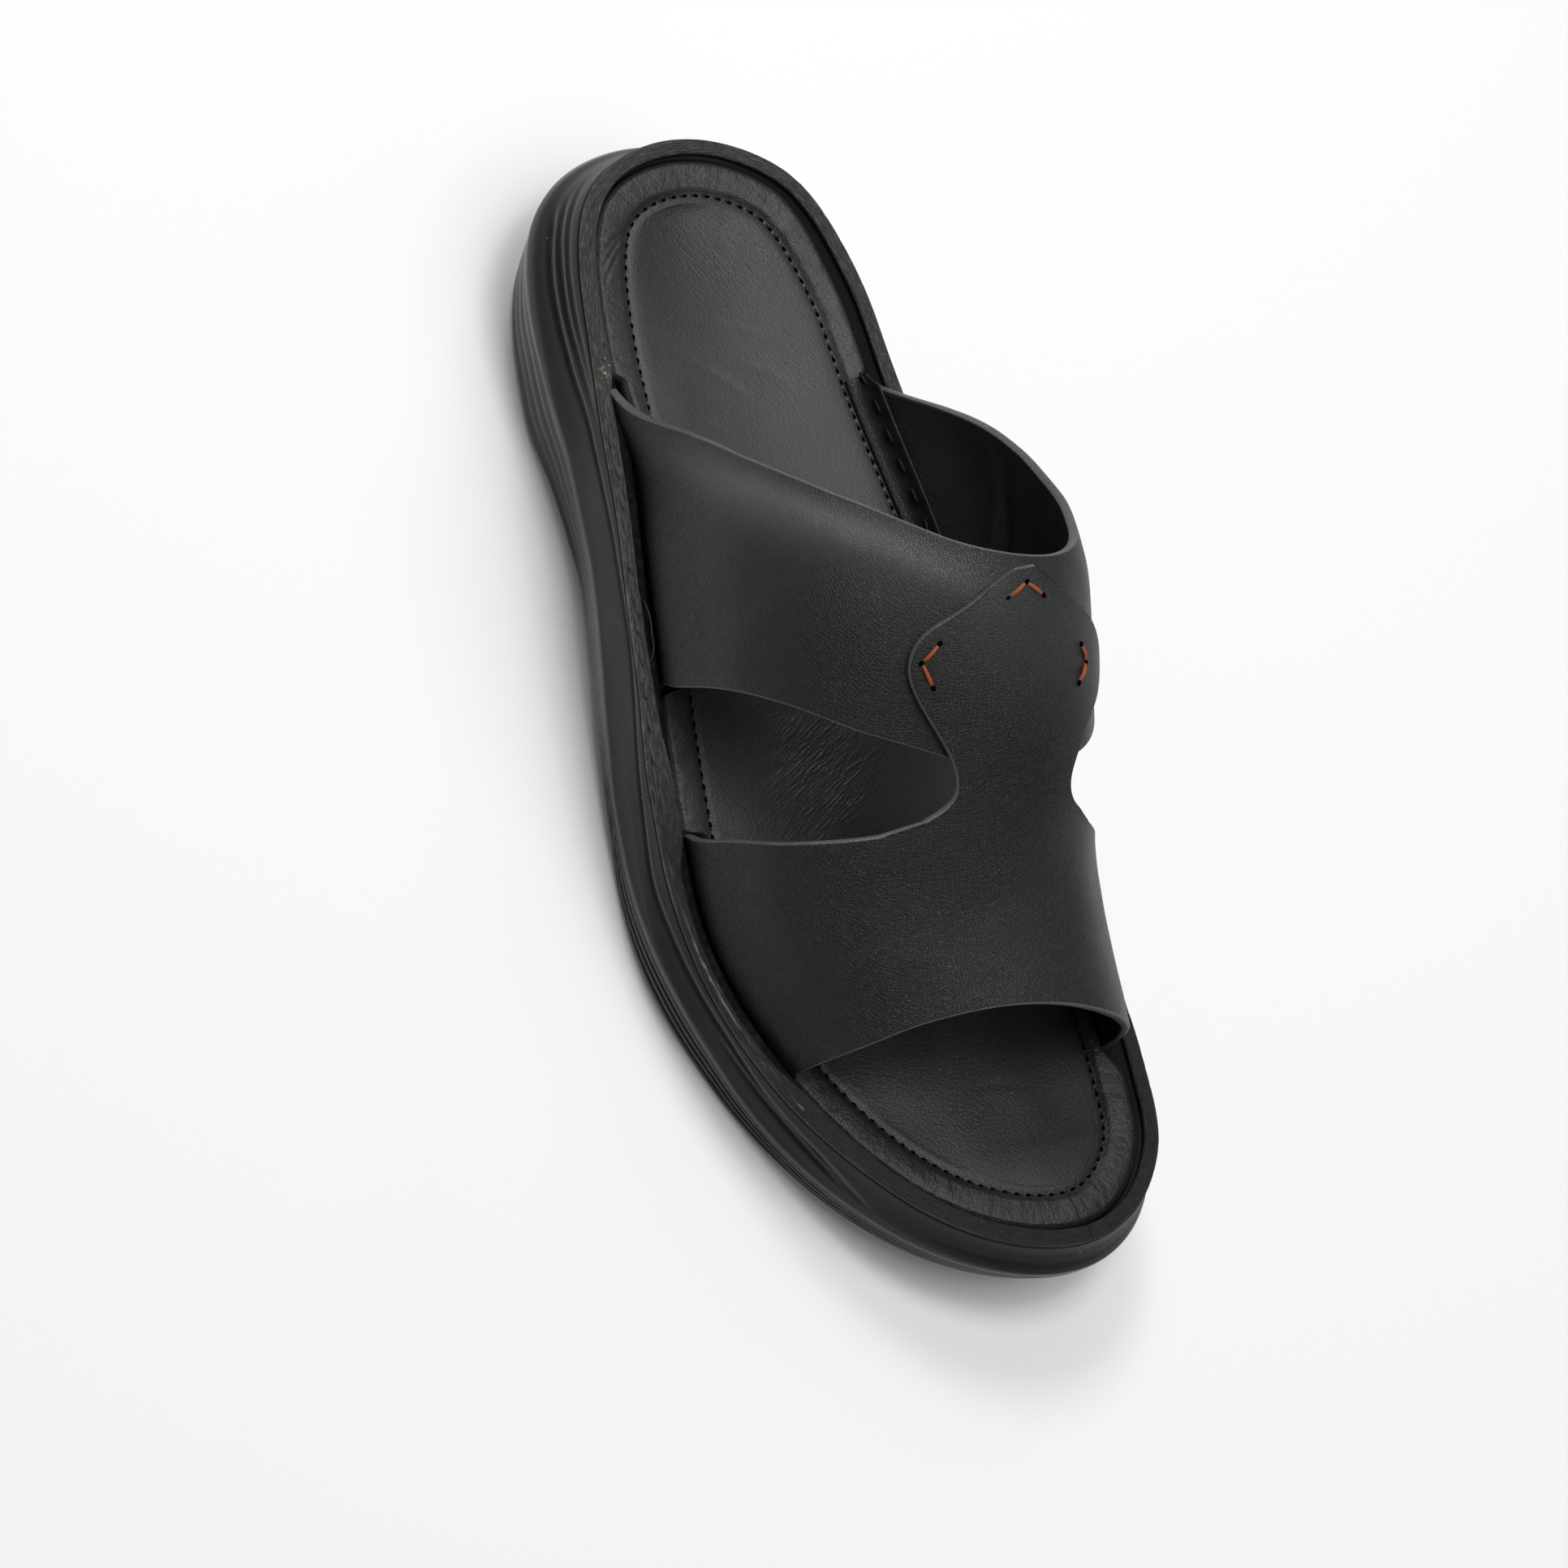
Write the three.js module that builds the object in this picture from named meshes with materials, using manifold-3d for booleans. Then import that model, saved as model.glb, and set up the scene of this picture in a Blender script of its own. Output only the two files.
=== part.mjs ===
// A leather slide sandal for the right foot, in millimetres.
// The toe points to -Y, the heel to +Y, the outer (lateral) side is -X, and the sole stands on z = 0.
// "Along" is a share of the footbed's length from the back of the heel, and "across" runs over the foot,
// from 0 at the strap's outer foot to 1 at its inner foot.
import * as THREE from 'three';
import Module from 'manifold-3d';

const wasm = await Module();
wasm.setup();

// Driving dimensions
const FOOTBED_LENGTH = 272;
const HEEL_WIDTH = 70;
const BALL_WIDTH = 94;
const HEEL_HEIGHT = 42.5;
const BALL_HEIGHT = 25;
const TOE_LIFT = 8;
const ARCH_HEIGHT = 6;
const TOE_SPRING = 12;
const HEEL_BEVEL = 3;

// Sole wall and tray
const HEEL_FLARE = 5;
const FORE_FLARE = 4.3;
const RIB_DEPTH = 0.45;
const WAIST_TUCK = 7;
const TRAY_DEPTH = 8;
const CLEARANCE = 0.35;

// Welt strip
const WELT_WIDTH = 3.8;
const WELT_SPREAD = 2.7;
const WELT_THICKNESS = 2;
const WELT_CROWN = 0.3;

// Footbed
const FOOTBED_GAP = 0.6;
const FOOTBED_DROP = 2.5;
const FOOTBED_EDGE_ROUND = 1.4;
const BORDER_WIDTH = 8.7;
const BORDER_DIP = 1.4;
const CENTRE_INSET = 15;
const HEEL_CUP = 3;
const BALL_CROWN = 1;
const SWELL_FULL_WIDTH = 38;

// Straps
const STRAP_THICKNESS = 2.2;
const STRAP_INSET = 3.7;
const STRAP_LATERAL_INSET = 5.4;
const STRAP_CORNER_INSET = 2.2;
const STRAP_FUSE = 0.2;
const UPRIGHT_SHARE = 0.08;
const INSTEP_HEIGHT = 74;
const MEDIAL_BULGE = 12;
const LATERAL_BULGE = 4;
const NOTCH_CLEARANCE = 0.5;
const NOTCH_RAMP = 6;
const NOTCH_SPARE = 4.5;

// How finely the solids are cut
const RING_STEPS = 120;
const REAR_ROWS = 9;
const STRAP_COLUMNS = 30;
const FRONT_ROWS = 7;
const LATERAL_COLUMNS = 10;
const TAB_COLUMNS = 10;
const MEDIAL_COLUMNS = 9;
const TAB_STEPS = 15;
const FOOT_STEPS = 2;

// Footbed outline: shares of the heel width, then of the ball width, to either side of the centre line
const HEEL_ROWS = [
  { along: 0.015, lateral: 0.229, medial: 0.235 },
  { along: 0.055, lateral: 0.365, medial: 0.409 },
  { along: 0.147, lateral: 0.476, medial: 0.491 },
  { along: 0.257, lateral: 0.546, medial: 0.487 },
];
const BALL_ROWS = [
  { along: 0.404, lateral: 0.508, medial: 0.385 },
  { along: 0.551, lateral: 0.570, medial: 0.400 },
  { along: 0.680, lateral: 0.588, medial: 0.434 },
  { along: 0.790, lateral: 0.515, medial: 0.446 },
  { along: 0.882, lateral: 0.394, medial: 0.415 },
  { along: 0.949, lateral: 0.238, medial: 0.353 },
];
const TOE_TIP_ACROSS = 0.099;

// Top of the rim: shares of the drop from heel to ball and of the lift at the toe
const RIM_ROWS = [
  { along: 0.00, heel: 1.00, toe: 0.00 },
  { along: 0.22, heel: 0.99, toe: 0.00 },
  { along: 0.35, heel: 0.93, toe: 0.00 },
  { along: 0.44, heel: 0.79, toe: 0.00 },
  { along: 0.56, heel: 0.42, toe: 0.00 },
  { along: 0.68, heel: 0.07, toe: 0.00 },
  { along: 0.77, heel: 0.00, toe: 0.03 },
  { along: 0.92, heel: 0.00, toe: 0.42 },
  { along: 1.00, heel: 0.00, toe: 0.80 },
];

// Underside: shares of the bevel at the back, of the arch and of the toe spring
const UNDER_ROWS = [
  { along: 0.00, bevel: 1, arch: 0.00, spring: 0.00 },
  { along: 0.05, bevel: 0, arch: 0.00, spring: 0.00 },
  { along: 0.27, bevel: 0, arch: 0.00, spring: 0.00 },
  { along: 0.34, bevel: 0, arch: 0.55, spring: 0.00 },
  { along: 0.43, bevel: 0, arch: 1.00, spring: 0.00 },
  { along: 0.52, bevel: 0, arch: 0.60, spring: 0.00 },
  { along: 0.61, bevel: 0, arch: 0.00, spring: 0.00 },
  { along: 0.77, bevel: 0, arch: 0.00, spring: 0.00 },
  { along: 0.88, bevel: 0, arch: 0.00, spring: 0.26 },
  { along: 1.00, bevel: 0, arch: 0.00, spring: 1.00 },
];

// Sole wall from the ground up: height as a share of the wall, outset as a share of the flare,
// and relief as a share of the rib depth, at the heel and at the forefoot
const WALL_ROWS = [
  { heelUp: 0.000, heelOut: -0.30, heelRelief: 0, foreUp: 0.000, foreOut: 0.30, foreRelief: 0 },
  { heelUp: 0.030, heelOut: 0.06, heelRelief: 0, foreUp: 0.060, foreOut: 0.62, foreRelief: 0 },
  { heelUp: 0.090, heelOut: 0.18, heelRelief: -1, foreUp: 0.130, foreOut: 0.72, foreRelief: -1 },
  { heelUp: 0.135, heelOut: 0.27, heelRelief: 1, foreUp: 0.175, foreOut: 0.78, foreRelief: 1 },
  { heelUp: 0.185, heelOut: 0.36, heelRelief: -1, foreUp: 0.225, foreOut: 0.83, foreRelief: -1 },
  { heelUp: 0.230, heelOut: 0.45, heelRelief: 1, foreUp: 0.270, foreOut: 0.88, foreRelief: 1 },
  { heelUp: 0.280, heelOut: 0.54, heelRelief: -1, foreUp: 0.320, foreOut: 0.92, foreRelief: -1 },
  { heelUp: 0.325, heelOut: 0.62, heelRelief: 1, foreUp: 0.365, foreOut: 0.95, foreRelief: 1 },
  { heelUp: 0.375, heelOut: 0.70, heelRelief: -1, foreUp: 0.415, foreOut: 0.97, foreRelief: -1 },
  { heelUp: 0.420, heelOut: 0.78, heelRelief: 1, foreUp: 0.460, foreOut: 0.98, foreRelief: 1 },
  { heelUp: 0.470, heelOut: 0.86, heelRelief: -1, foreUp: 0.510, foreOut: 0.98, foreRelief: -1 },
  { heelUp: 0.530, heelOut: 1.00, heelRelief: 0, foreUp: 0.560, foreOut: 1.00, foreRelief: 0 },
  { heelUp: 0.580, heelOut: 0.92, heelRelief: 0, foreUp: 0.620, foreOut: 0.88, foreRelief: 0 },
  { heelUp: 0.680, heelOut: 0.58, heelRelief: -1, foreUp: 0.720, foreOut: 0.56, foreRelief: 0 },
  { heelUp: 0.740, heelOut: 0.44, heelRelief: 1, foreUp: 0.780, foreOut: 0.40, foreRelief: 1 },
  { heelUp: 0.800, heelOut: 0.30, heelRelief: -1, foreUp: 0.830, foreOut: 0.27, foreRelief: -1 },
  { heelUp: 0.860, heelOut: 0.18, heelRelief: 1, foreUp: 0.890, foreOut: 0.16, foreRelief: 1 },
  { heelUp: 0.985, heelOut: 0.04, heelRelief: 0, foreUp: 0.985, foreOut: 0.04, foreRelief: 0 },
  { heelUp: 1.000, heelOut: -0.04, heelRelief: 0, foreUp: 1.000, foreOut: -0.04, foreRelief: 0 },
];

// How far the wall follows its heel rows, how far it flares, how strong its ribs are and how far its
// foot is tucked in under the arch
const WALL_BLEND_ROWS = [
  { along: 0.00, heel: 1.0, flare: 1.20, ribs: 0.8, tuck: 0.00 },
  { along: 0.09, heel: 1.0, flare: 1.00, ribs: 0.9, tuck: 0.00 },
  { along: 0.17, heel: 1.0, flare: 0.50, ribs: 1.0, tuck: 0.05 },
  { along: 0.23, heel: 1.0, flare: 0.15, ribs: 1.0, tuck: 0.45 },
  { along: 0.31, heel: 0.9, flare: 0.00, ribs: 0.8, tuck: 0.82 },
  { along: 0.38, heel: 0.7, flare: 0.00, ribs: 0.5, tuck: 0.64 },
  { along: 0.45, heel: 0.4, flare: 0.00, ribs: 0.4, tuck: 0.30 },
  { along: 0.54, heel: 0.1, flare: 0.15, ribs: 0.7, tuck: 0.10 },
  { along: 0.66, heel: 0.0, flare: 0.45, ribs: 0.9, tuck: 0.00 },
  { along: 0.80, heel: 0.0, flare: 0.20, ribs: 0.8, tuck: 0.00 },
  { along: 0.90, heel: 0.0, flare: 0.40, ribs: 0.2, tuck: 0.00 },
  { along: 1.00, heel: 0.0, flare: 0.95, ribs: 0.0, tuck: 0.00 },
];

// How much wider the rim's lateral side is, as a share of its spread
const SPREAD_ROWS = [
  { along: 0.00, spread: 0.00 },
  { along: 0.14, spread: 0.00 },
  { along: 0.25, spread: 0.75 },
  { along: 0.34, spread: 0.40 },
  { along: 0.45, spread: 0.45 },
  { along: 0.54, spread: 0.85 },
  { along: 0.60, spread: 0.80 },
  { along: 0.68, spread: 0.40 },
  { along: 0.75, spread: 0.45 },
  { along: 0.82, spread: 0.40 },
  { along: 0.92, spread: 0.00 },
  { along: 1.00, spread: 0.00 },
];

// One section of the straps' arch over the foot: across as a share of the half width, up as a share of
// the arch height, and how much of each side's bulge it takes
const ARCH_ROWS = [
  { across: -1.00, up: 0.00, lateral: 0.0, medial: 0.0 },
  { across: -1.00, up: 0.20, lateral: 0.7, medial: 0.0 },
  { across: -0.88, up: 0.50, lateral: 1.0, medial: 0.0 },
  { across: -0.62, up: 0.78, lateral: 0.8, medial: 0.0 },
  { across: -0.20, up: 0.96, lateral: 0.3, medial: 0.0 },
  { across: 0.20, up: 1.00, lateral: 0.0, medial: 0.1 },
  { across: 0.56, up: 0.87, lateral: 0.0, medial: 0.6 },
  { across: 0.84, up: 0.58, lateral: 0.0, medial: 1.0 },
  { across: 0.97, up: 0.27, lateral: 0.0, medial: 0.8 },
  { across: 1.00, up: 0.00, lateral: 0.0, medial: 0.0 },
];

// How the arch changes along the foot: shares of the instep height and of the bulges, and its lean
// to the inner side as a share of the half width
const INSTEP_ROWS = [
  { along: 0.20, height: 0.96, medial: 0.15, lateral: 0.15, lean: 0.13 },
  { along: 0.37, height: 1.01, medial: 0.86, lateral: 0.75, lean: 0.20 },
  { along: 0.48, height: 0.99, medial: 1.00, lateral: 1.00, lean: 0.24 },
  { along: 0.59, height: 0.82, medial: 0.75, lateral: 0.75, lean: 0.24 },
  { along: 0.70, height: 0.61, medial: 0.22, lateral: 0.50, lean: 0.12 },
  { along: 0.81, height: 0.46, medial: 0.03, lateral: 0.25, lean: 0.02 },
  { along: 0.90, height: 0.36, medial: 0.00, lateral: 0.25, lean: 0.00 },
];

// Strap edges, each given along the foot, at places across the arch
const EDGE_ROWS = [
  { across: 0.00, rearBack: 0.188, rearFront: 0.460, frontBack: 0.585, frontFront: 0.798 },
  { across: 0.05, rearBack: 0.218, rearFront: 0.467, frontBack: 0.592, frontFront: 0.801 },
  { across: 0.15, rearBack: 0.268, rearFront: 0.489, frontBack: 0.610, frontFront: 0.806 },
  { across: 0.25, rearBack: 0.329, rearFront: 0.528, frontBack: 0.634, frontFront: 0.809 },
  { across: 0.35, rearBack: 0.397, rearFront: 0.581, frontBack: 0.653, frontFront: 0.810 },
  { across: 0.45, rearBack: 0.463, rearFront: 0.625, frontBack: 0.660, frontFront: 0.816 },
  { across: 0.56, rearBack: 0.489, rearFront: 0.640, frontBack: 0.669, frontFront: 0.829 },
  { across: 0.66, rearBack: 0.476, rearFront: 0.629, frontBack: 0.680, frontFront: 0.842 },
  { across: 0.75, rearBack: 0.419, rearFront: 0.599, frontBack: 0.686, frontFront: 0.849 },
  { across: 0.85, rearBack: 0.324, rearFront: 0.551, frontBack: 0.676, frontFront: 0.853 },
  { across: 1.00, rearBack: 0.235, rearFront: 0.489, frontBack: 0.654, frontFront: 0.853 },
];

// The tab's two edges from its root on the front strap to its tip on the rear strap
const TAB_ROWS = [
  { lateralAlong: 0.654, lateralAcross: 0.396, medialAlong: 0.674, medialAcross: 0.652 },
  { lateralAlong: 0.648, lateralAcross: 0.420, medialAlong: 0.665, medialAcross: 0.624 },
  { lateralAlong: 0.638, lateralAcross: 0.430, medialAlong: 0.653, medialAcross: 0.612 },
  { lateralAlong: 0.619, lateralAcross: 0.425, medialAlong: 0.637, medialAcross: 0.617 },
  { lateralAlong: 0.592, lateralAcross: 0.408, medialAlong: 0.610, medialAcross: 0.643 },
  { lateralAlong: 0.559, lateralAcross: 0.389, medialAlong: 0.583, medialAcross: 0.690 },
  { lateralAlong: 0.537, lateralAcross: 0.385, medialAlong: 0.559, medialAcross: 0.712 },
  { lateralAlong: 0.520, lateralAcross: 0.400, medialAlong: 0.542, medialAcross: 0.675 },
  { lateralAlong: 0.511, lateralAcross: 0.440, medialAlong: 0.524, medialAcross: 0.615 },
  { lateralAlong: 0.502, lateralAcross: 0.480, medialAlong: 0.509, medialAcross: 0.565 },
  { lateralAlong: 0.498, lateralAcross: 0.505, medialAlong: 0.500, medialAcross: 0.542 },
];
const TAB_ROOT_LATERAL = 0.353;
const TAB_ROOT_MEDIAL = 0.687;
const CORNER_FROM = 0.19;
const CORNER_TO = 0.30;
const LAP_START = 0.74;
const LAP_FULL = 0.66;
const LAP_FOOT = 0.10;
const LAP_TOP = 0.33;

// Small helpers: blends and smooth curves through rows
const mix = (a, b, share) => a + (b - a) * share;
const clamp = (value, low, high) => Math.min(Math.max(value, low), high);
const ease = (from, to, value) => {
  const share = clamp((value - from) / (to - from), 0, 1);
  return share * share * (3 - 2 * share);
};

// A curve through points with increasing xs. A steady one never swings past its points.
function curveThrough(xs, ys, steady) {
  const last = xs.length - 1;
  const rise = k => (ys[k + 1] - ys[k]) / (xs[k + 1] - xs[k]);
  const slopes = xs.map((x, k) => {
    if (k === 0) return rise(0);
    if (k === last) return rise(last - 1);
    const before = rise(k - 1);
    const after = rise(k);
    if (!steady) return (ys[k + 1] - ys[k - 1]) / (xs[k + 1] - xs[k - 1]);
    return before * after <= 0 ? 0 : 2 * before * after / (before + after);
  });
  return x => {
    const at = clamp(x, xs[0], xs[last]);
    let k = 0;
    while (k < last - 1 && at > xs[k + 1]) k += 1;
    const span = xs[k + 1] - xs[k];
    const u = (at - xs[k]) / span;
    const hermite = (1 + 2 * u) * (1 - u) ** 2 * ys[k] + u * (1 - u) ** 2 * span * slopes[k];
    return hermite + u * u * (3 - 2 * u) * ys[k + 1] - u * u * (1 - u) * span * slopes[k + 1];
  };
}
const column = (rows, at, key, steady = true) =>
  curveThrough(rows.map(row => row[at]), rows.map(row => row[key]), steady);

// Footbed outline. Turn runs from -pi at the toe tip over the lateral side to 0 at the heel, and on over
// the medial side to pi.
const turnAt = along => Math.acos(1 - 2 * clamp(along, 0, 1));
const outlineRows = [
  ...HEEL_ROWS.map(row => ({ ...row, width: HEEL_WIDTH })),
  ...BALL_ROWS.map(row => ({ ...row, width: BALL_WIDTH })),
].map(({ along, lateral, medial, width }) => (
  { turn: turnAt(along), lateral: -lateral * width, medial: medial * width }
));
const tip = TOE_TIP_ACROSS * BALL_WIDTH;
const nearTip = outlineRows[outlineRows.length - 1];
const outlinePoints = [
  [nearTip.turn - 2 * Math.PI, nearTip.medial],
  [-Math.PI, tip],
  ...outlineRows.map(row => [-row.turn, row.lateral]).reverse(),
  [0, 0],
  ...outlineRows.map(row => [row.turn, row.medial]),
  [Math.PI, tip],
  [2 * Math.PI - nearTip.turn, nearTip.lateral],
];
const outlineX = curveThrough(outlinePoints.map(p => p[0]), outlinePoints.map(p => p[1]), false);
const TURN_STEP = 1e-3;

// A point of the outline moved outwards in plan by an outset, at a height
function planPoint(turn, outset, height) {
  const slopeX = (outlineX(turn + TURN_STEP) - outlineX(turn - TURN_STEP)) / (2 * TURN_STEP);
  const slopeY = -FOOTBED_LENGTH / 2 * Math.sin(turn);
  const size = Math.hypot(slopeX, slopeY);
  const x = outlineX(turn) - outset * slopeY / size;
  const y = FOOTBED_LENGTH / 2 * Math.cos(turn) + outset * slopeX / size;
  return new THREE.Vector3(x, y, height);
}
const alongOf = turn => (1 - Math.cos(turn)) / 2;

// Where an inset line of the outline lies at a station along the foot, on one side (-1 lateral, 1 medial)
function sideX(along, side, inset) {
  const turn = side * turnAt(along);
  const slopeX = (outlineX(turn + TURN_STEP) - outlineX(turn - TURN_STEP)) / (2 * TURN_STEP);
  const slopeY = FOOTBED_LENGTH / 2 * Math.sin(turn);
  return outlineX(turn) - side * inset * Math.hypot(1, slopeX / slopeY);
}

// Heights along the foot
const rimHeel = column(RIM_ROWS, 'along', 'heel');
const rimToe = column(RIM_ROWS, 'along', 'toe');
const rimTop = along =>
  BALL_HEIGHT + (HEEL_HEIGHT - BALL_HEIGHT) * rimHeel(along) + TOE_LIFT * rimToe(along);
const underBevel = column(UNDER_ROWS, 'along', 'bevel');
const underArch = column(UNDER_ROWS, 'along', 'arch');
const underSpring = column(UNDER_ROWS, 'along', 'spring');
const underside = along =>
  HEEL_BEVEL * underBevel(along) + ARCH_HEIGHT * underArch(along) + TOE_SPRING * underSpring(along);
const trayFloor = along => rimTop(along) - TRAY_DEPTH;
const wallTop = along => rimTop(along) - WELT_THICKNESS - CLEARANCE;
const bedEdge = along => rimTop(along) - FOOTBED_DROP;

// Solids from rings. Each ring has its points in the same order, and ring point k on the lateral side
// faces ring point RING_STEPS - k on the medial side.
const turns = Array.from({ length: RING_STEPS }, (_, k) => -Math.PI + 2 * Math.PI * k / RING_STEPS);
const ring = (outset, height) => turns.map(turn => planPoint(turn, outset(turn), height(alongOf(turn))));

function meshOf(points, faces) {
  const geometry = new THREE.BufferGeometry();
  const flat = points.flatMap(p => [p.x, p.y, p.z]);
  geometry.setAttribute('position', new THREE.Float32BufferAttribute(flat, 3));
  geometry.setIndex(faces.flat());
  let volume = 0;
  for (const [a, b, c] of faces) {
    volume += points[a].dot(new THREE.Vector3().crossVectors(points[b], points[c]));
  }
  if (volume < 0) geometry.setIndex(faces.flatMap(([a, b, c]) => [a, c, b]));
  geometry.computeVertexNormals();
  return geometry;
}

// Faces between two rings of the same length
function band(lower, upper) {
  return turns.flatMap((_, k) => {
    const next = (k + 1) % RING_STEPS;
    return [
      [lower + k, upper + k, upper + next],
      [lower + k, upper + next, lower + next],
    ];
  });
}

// Rungs that close a ring from its lateral to its medial side, with a swell at their middle
function rungs(points, start, columns, swell) {
  const half = RING_STEPS / 2;
  const line = [[start]];
  for (let k = 1; k < half; k += 1) {
    const lateral = points[start + k];
    const medial = points[start + RING_STEPS - k];
    const rung = [start + k];
    const rise = swell(alongOf(turns[k])) * ease(0, SWELL_FULL_WIDTH, lateral.distanceTo(medial));
    for (let c = 1; c < columns; c += 1) {
      const share = c / columns;
      const point = lateral.clone().lerp(medial, share);
      point.z += 4 * share * (1 - share) * rise;
      rung.push(points.push(point) - 1);
    }
    rung.push(start + RING_STEPS - k);
    line.push(rung);
  }
  line.push([start + half]);
  return line;
}
function cap(points, start, columns, swell, facingUp) {
  const lines = rungs(points, start, columns, swell);
  const faces = [];
  for (let k = 1; k < lines.length; k += 1) {
    const before = lines[k - 1];
    const after = lines[k];
    for (let c = 0; c < columns; c += 1) {
      if (before.length > 1) faces.push([before[c], after[Math.min(c, after.length - 1)], before[c + 1]]);
      if (after.length > 1) {
        const corner = before[Math.min(c + 1, before.length - 1)];
        faces.push([after[c], after[c + 1], corner]);
      }
    }
  }
  return facingUp ? faces : faces.map(([a, b, c]) => [a, c, b]);
}
const level = () => 0;
function loft(rings, lowColumns, topColumns, lowSwell = level, topSwell = level) {
  const points = rings.flat();
  const faces = [];
  for (let k = 1; k < rings.length; k += 1) {
    faces.push(...band((k - 1) * RING_STEPS, k * RING_STEPS));
  }
  const topStart = (rings.length - 1) * RING_STEPS;
  faces.push(...cap(points, 0, lowColumns, lowSwell, true));
  faces.push(...cap(points, topStart, topColumns, topSwell, false));
  return meshOf(points, faces);
}
function hoop(rings) {
  const faces = rings.flatMap((_, k) => band(k * RING_STEPS, ((k + 1) % rings.length) * RING_STEPS));
  return meshOf(rings.flat(), faces);
}

// Outsole: a moulded unit with a flared and ribbed wall, an arch, a toe spring and a tray for the footbed
const blendHeel = column(WALL_BLEND_ROWS, 'along', 'heel');
const blendRibs = column(WALL_BLEND_ROWS, 'along', 'ribs');
const blendFlare = column(WALL_BLEND_ROWS, 'along', 'flare');
const blendTuck = column(WALL_BLEND_ROWS, 'along', 'tuck');
const spread = column(SPREAD_ROWS, 'along', 'spread');
const rimSpread = turn => (turn < 0 ? WELT_SPREAD * spread(alongOf(turn)) : 0);
const rimOutset = turn => FOOTBED_GAP + WELT_WIDTH + rimSpread(turn);
function wallRing(row) {
  const outset = turn => {
    const along = alongOf(turn);
    const heel = blendHeel(along);
    const flare = mix(FORE_FLARE, HEEL_FLARE, heel) * blendFlare(along);
    const relief = RIB_DEPTH * blendRibs(along) * mix(row.foreRelief, row.heelRelief, heel);
    const tuck = WAIST_TUCK * blendTuck(along) * (1 - upShare(along)) ** 2;
    const base = FOOTBED_GAP + WELT_WIDTH + rimSpread(turn) * upShare(along) ** 2;
    return base + flare * mix(row.foreOut, row.heelOut, heel) + relief - tuck;
  };
  const upShare = along => mix(row.foreUp, row.heelUp, blendHeel(along));
  const height = along => mix(underside(along), wallTop(along), upShare(along));
  return ring(outset, height);
}
function outsoleGeometry() {
  const trayEdge = () => FOOTBED_GAP;
  const rings = [
    ...WALL_ROWS.map(wallRing),
    ring(trayEdge, wallTop),
    ring(trayEdge, trayFloor),
  ];
  return loft(rings, 1, 1);
}

// Welt: a leather strip on the top of the wall
function weltGeometry() {
  const inner = () => FOOTBED_GAP;
  const middle = turn => mix(FOOTBED_GAP, rimOutset(turn), 0.5);
  const shoulder = along => rimTop(along) - WELT_CROWN;
  const foot = along => rimTop(along) - WELT_THICKNESS;
  return hoop([
    ring(inner, foot),
    ring(inner, shoulder),
    ring(middle, rimTop),
    ring(rimOutset, shoulder),
    ring(rimOutset, foot),
  ]);
}

// Strap edges as curves, and the notches in the footbed that let the strap feet down into the slot
const strapEdge = {};
for (const key of ['rearBack', 'rearFront', 'frontBack', 'frontFront']) {
  strapEdge[key] = column(EDGE_ROWS, 'across', key, false);
}
const lateralInset = along =>
  mix(STRAP_CORNER_INSET, STRAP_LATERAL_INSET, ease(CORNER_FROM, CORNER_TO, along));
function notch(turn) {
  const along = alongOf(turn) * FOOTBED_LENGTH;
  const across = turn < 0 ? 0 : 1;
  const depths = [['rearBack', 'rearFront'], ['frontBack', 'frontFront']].map(([back, front]) => {
    const from = strapEdge[back](across) * FOOTBED_LENGTH - NOTCH_SPARE;
    const to = strapEdge[front](across) * FOOTBED_LENGTH + NOTCH_SPARE;
    return ease(from - NOTCH_RAMP, from, along) * (1 - ease(to, to + NOTCH_RAMP, along));
  });
  const inset = turn < 0 ? lateralInset(alongOf(turn)) : STRAP_INSET;
  return (inset + NOTCH_CLEARANCE) * Math.max(...depths);
}

// Footbed: a padded insole with a turned edge, a border that dips to the stitch line, and a cupped heel
function footbedGeometry() {
  const inset = distance => turn => -(distance + notch(turn) * (1 - distance / CENTRE_INSET));
  const bottom = along => trayFloor(along) + CLEARANCE;
  const shoulder = along => bedEdge(along) - FOOTBED_EDGE_ROUND;
  const dipped = along => bedEdge(along) - BORDER_DIP;
  const rings = [
    ring(inset(0), bottom),
    ring(inset(0), shoulder),
    ring(inset(FOOTBED_EDGE_ROUND), bedEdge),
    ring(inset(BORDER_WIDTH), dipped),
    ring(inset(CENTRE_INSET), dipped),
  ];
  const swell = along => mix(BALL_CROWN, -HEEL_CUP, rimHeel(along));
  return loft(rings, 1, 4, level, swell);
}

// The arch over the foot, and a point on it lifted off along its own normal
function archRow(across) {
  const count = ARCH_ROWS.length - 1;
  const place = clamp(across, 0, 1) * count;
  const k = Math.min(Math.floor(place), count - 1);
  const u = place - k;
  const pick = (key, index) => {
    if (index < 0) return 2 * ARCH_ROWS[0][key] - ARCH_ROWS[1][key];
    if (index > count) return 2 * ARCH_ROWS[count][key] - ARCH_ROWS[count - 1][key];
    return ARCH_ROWS[index][key];
  };
  const spline = key => {
    const [a, b, c, d] = [-1, 0, 1, 2].map(step => pick(key, k + step));
    const squared = (2 * a - 5 * b + 4 * c - d) * u * u;
    const cubed = (3 * b - a - 3 * c + d) * u ** 3;
    return 0.5 * (2 * b + (c - a) * u + squared + cubed);
  };
  return Object.fromEntries(Object.keys(ARCH_ROWS[0]).map(key => [key, spline(key)]));
}
const instep = {};
for (const key of ['height', 'medial', 'lateral', 'lean']) {
  instep[key] = column(INSTEP_ROWS, 'along', key);
}
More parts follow.
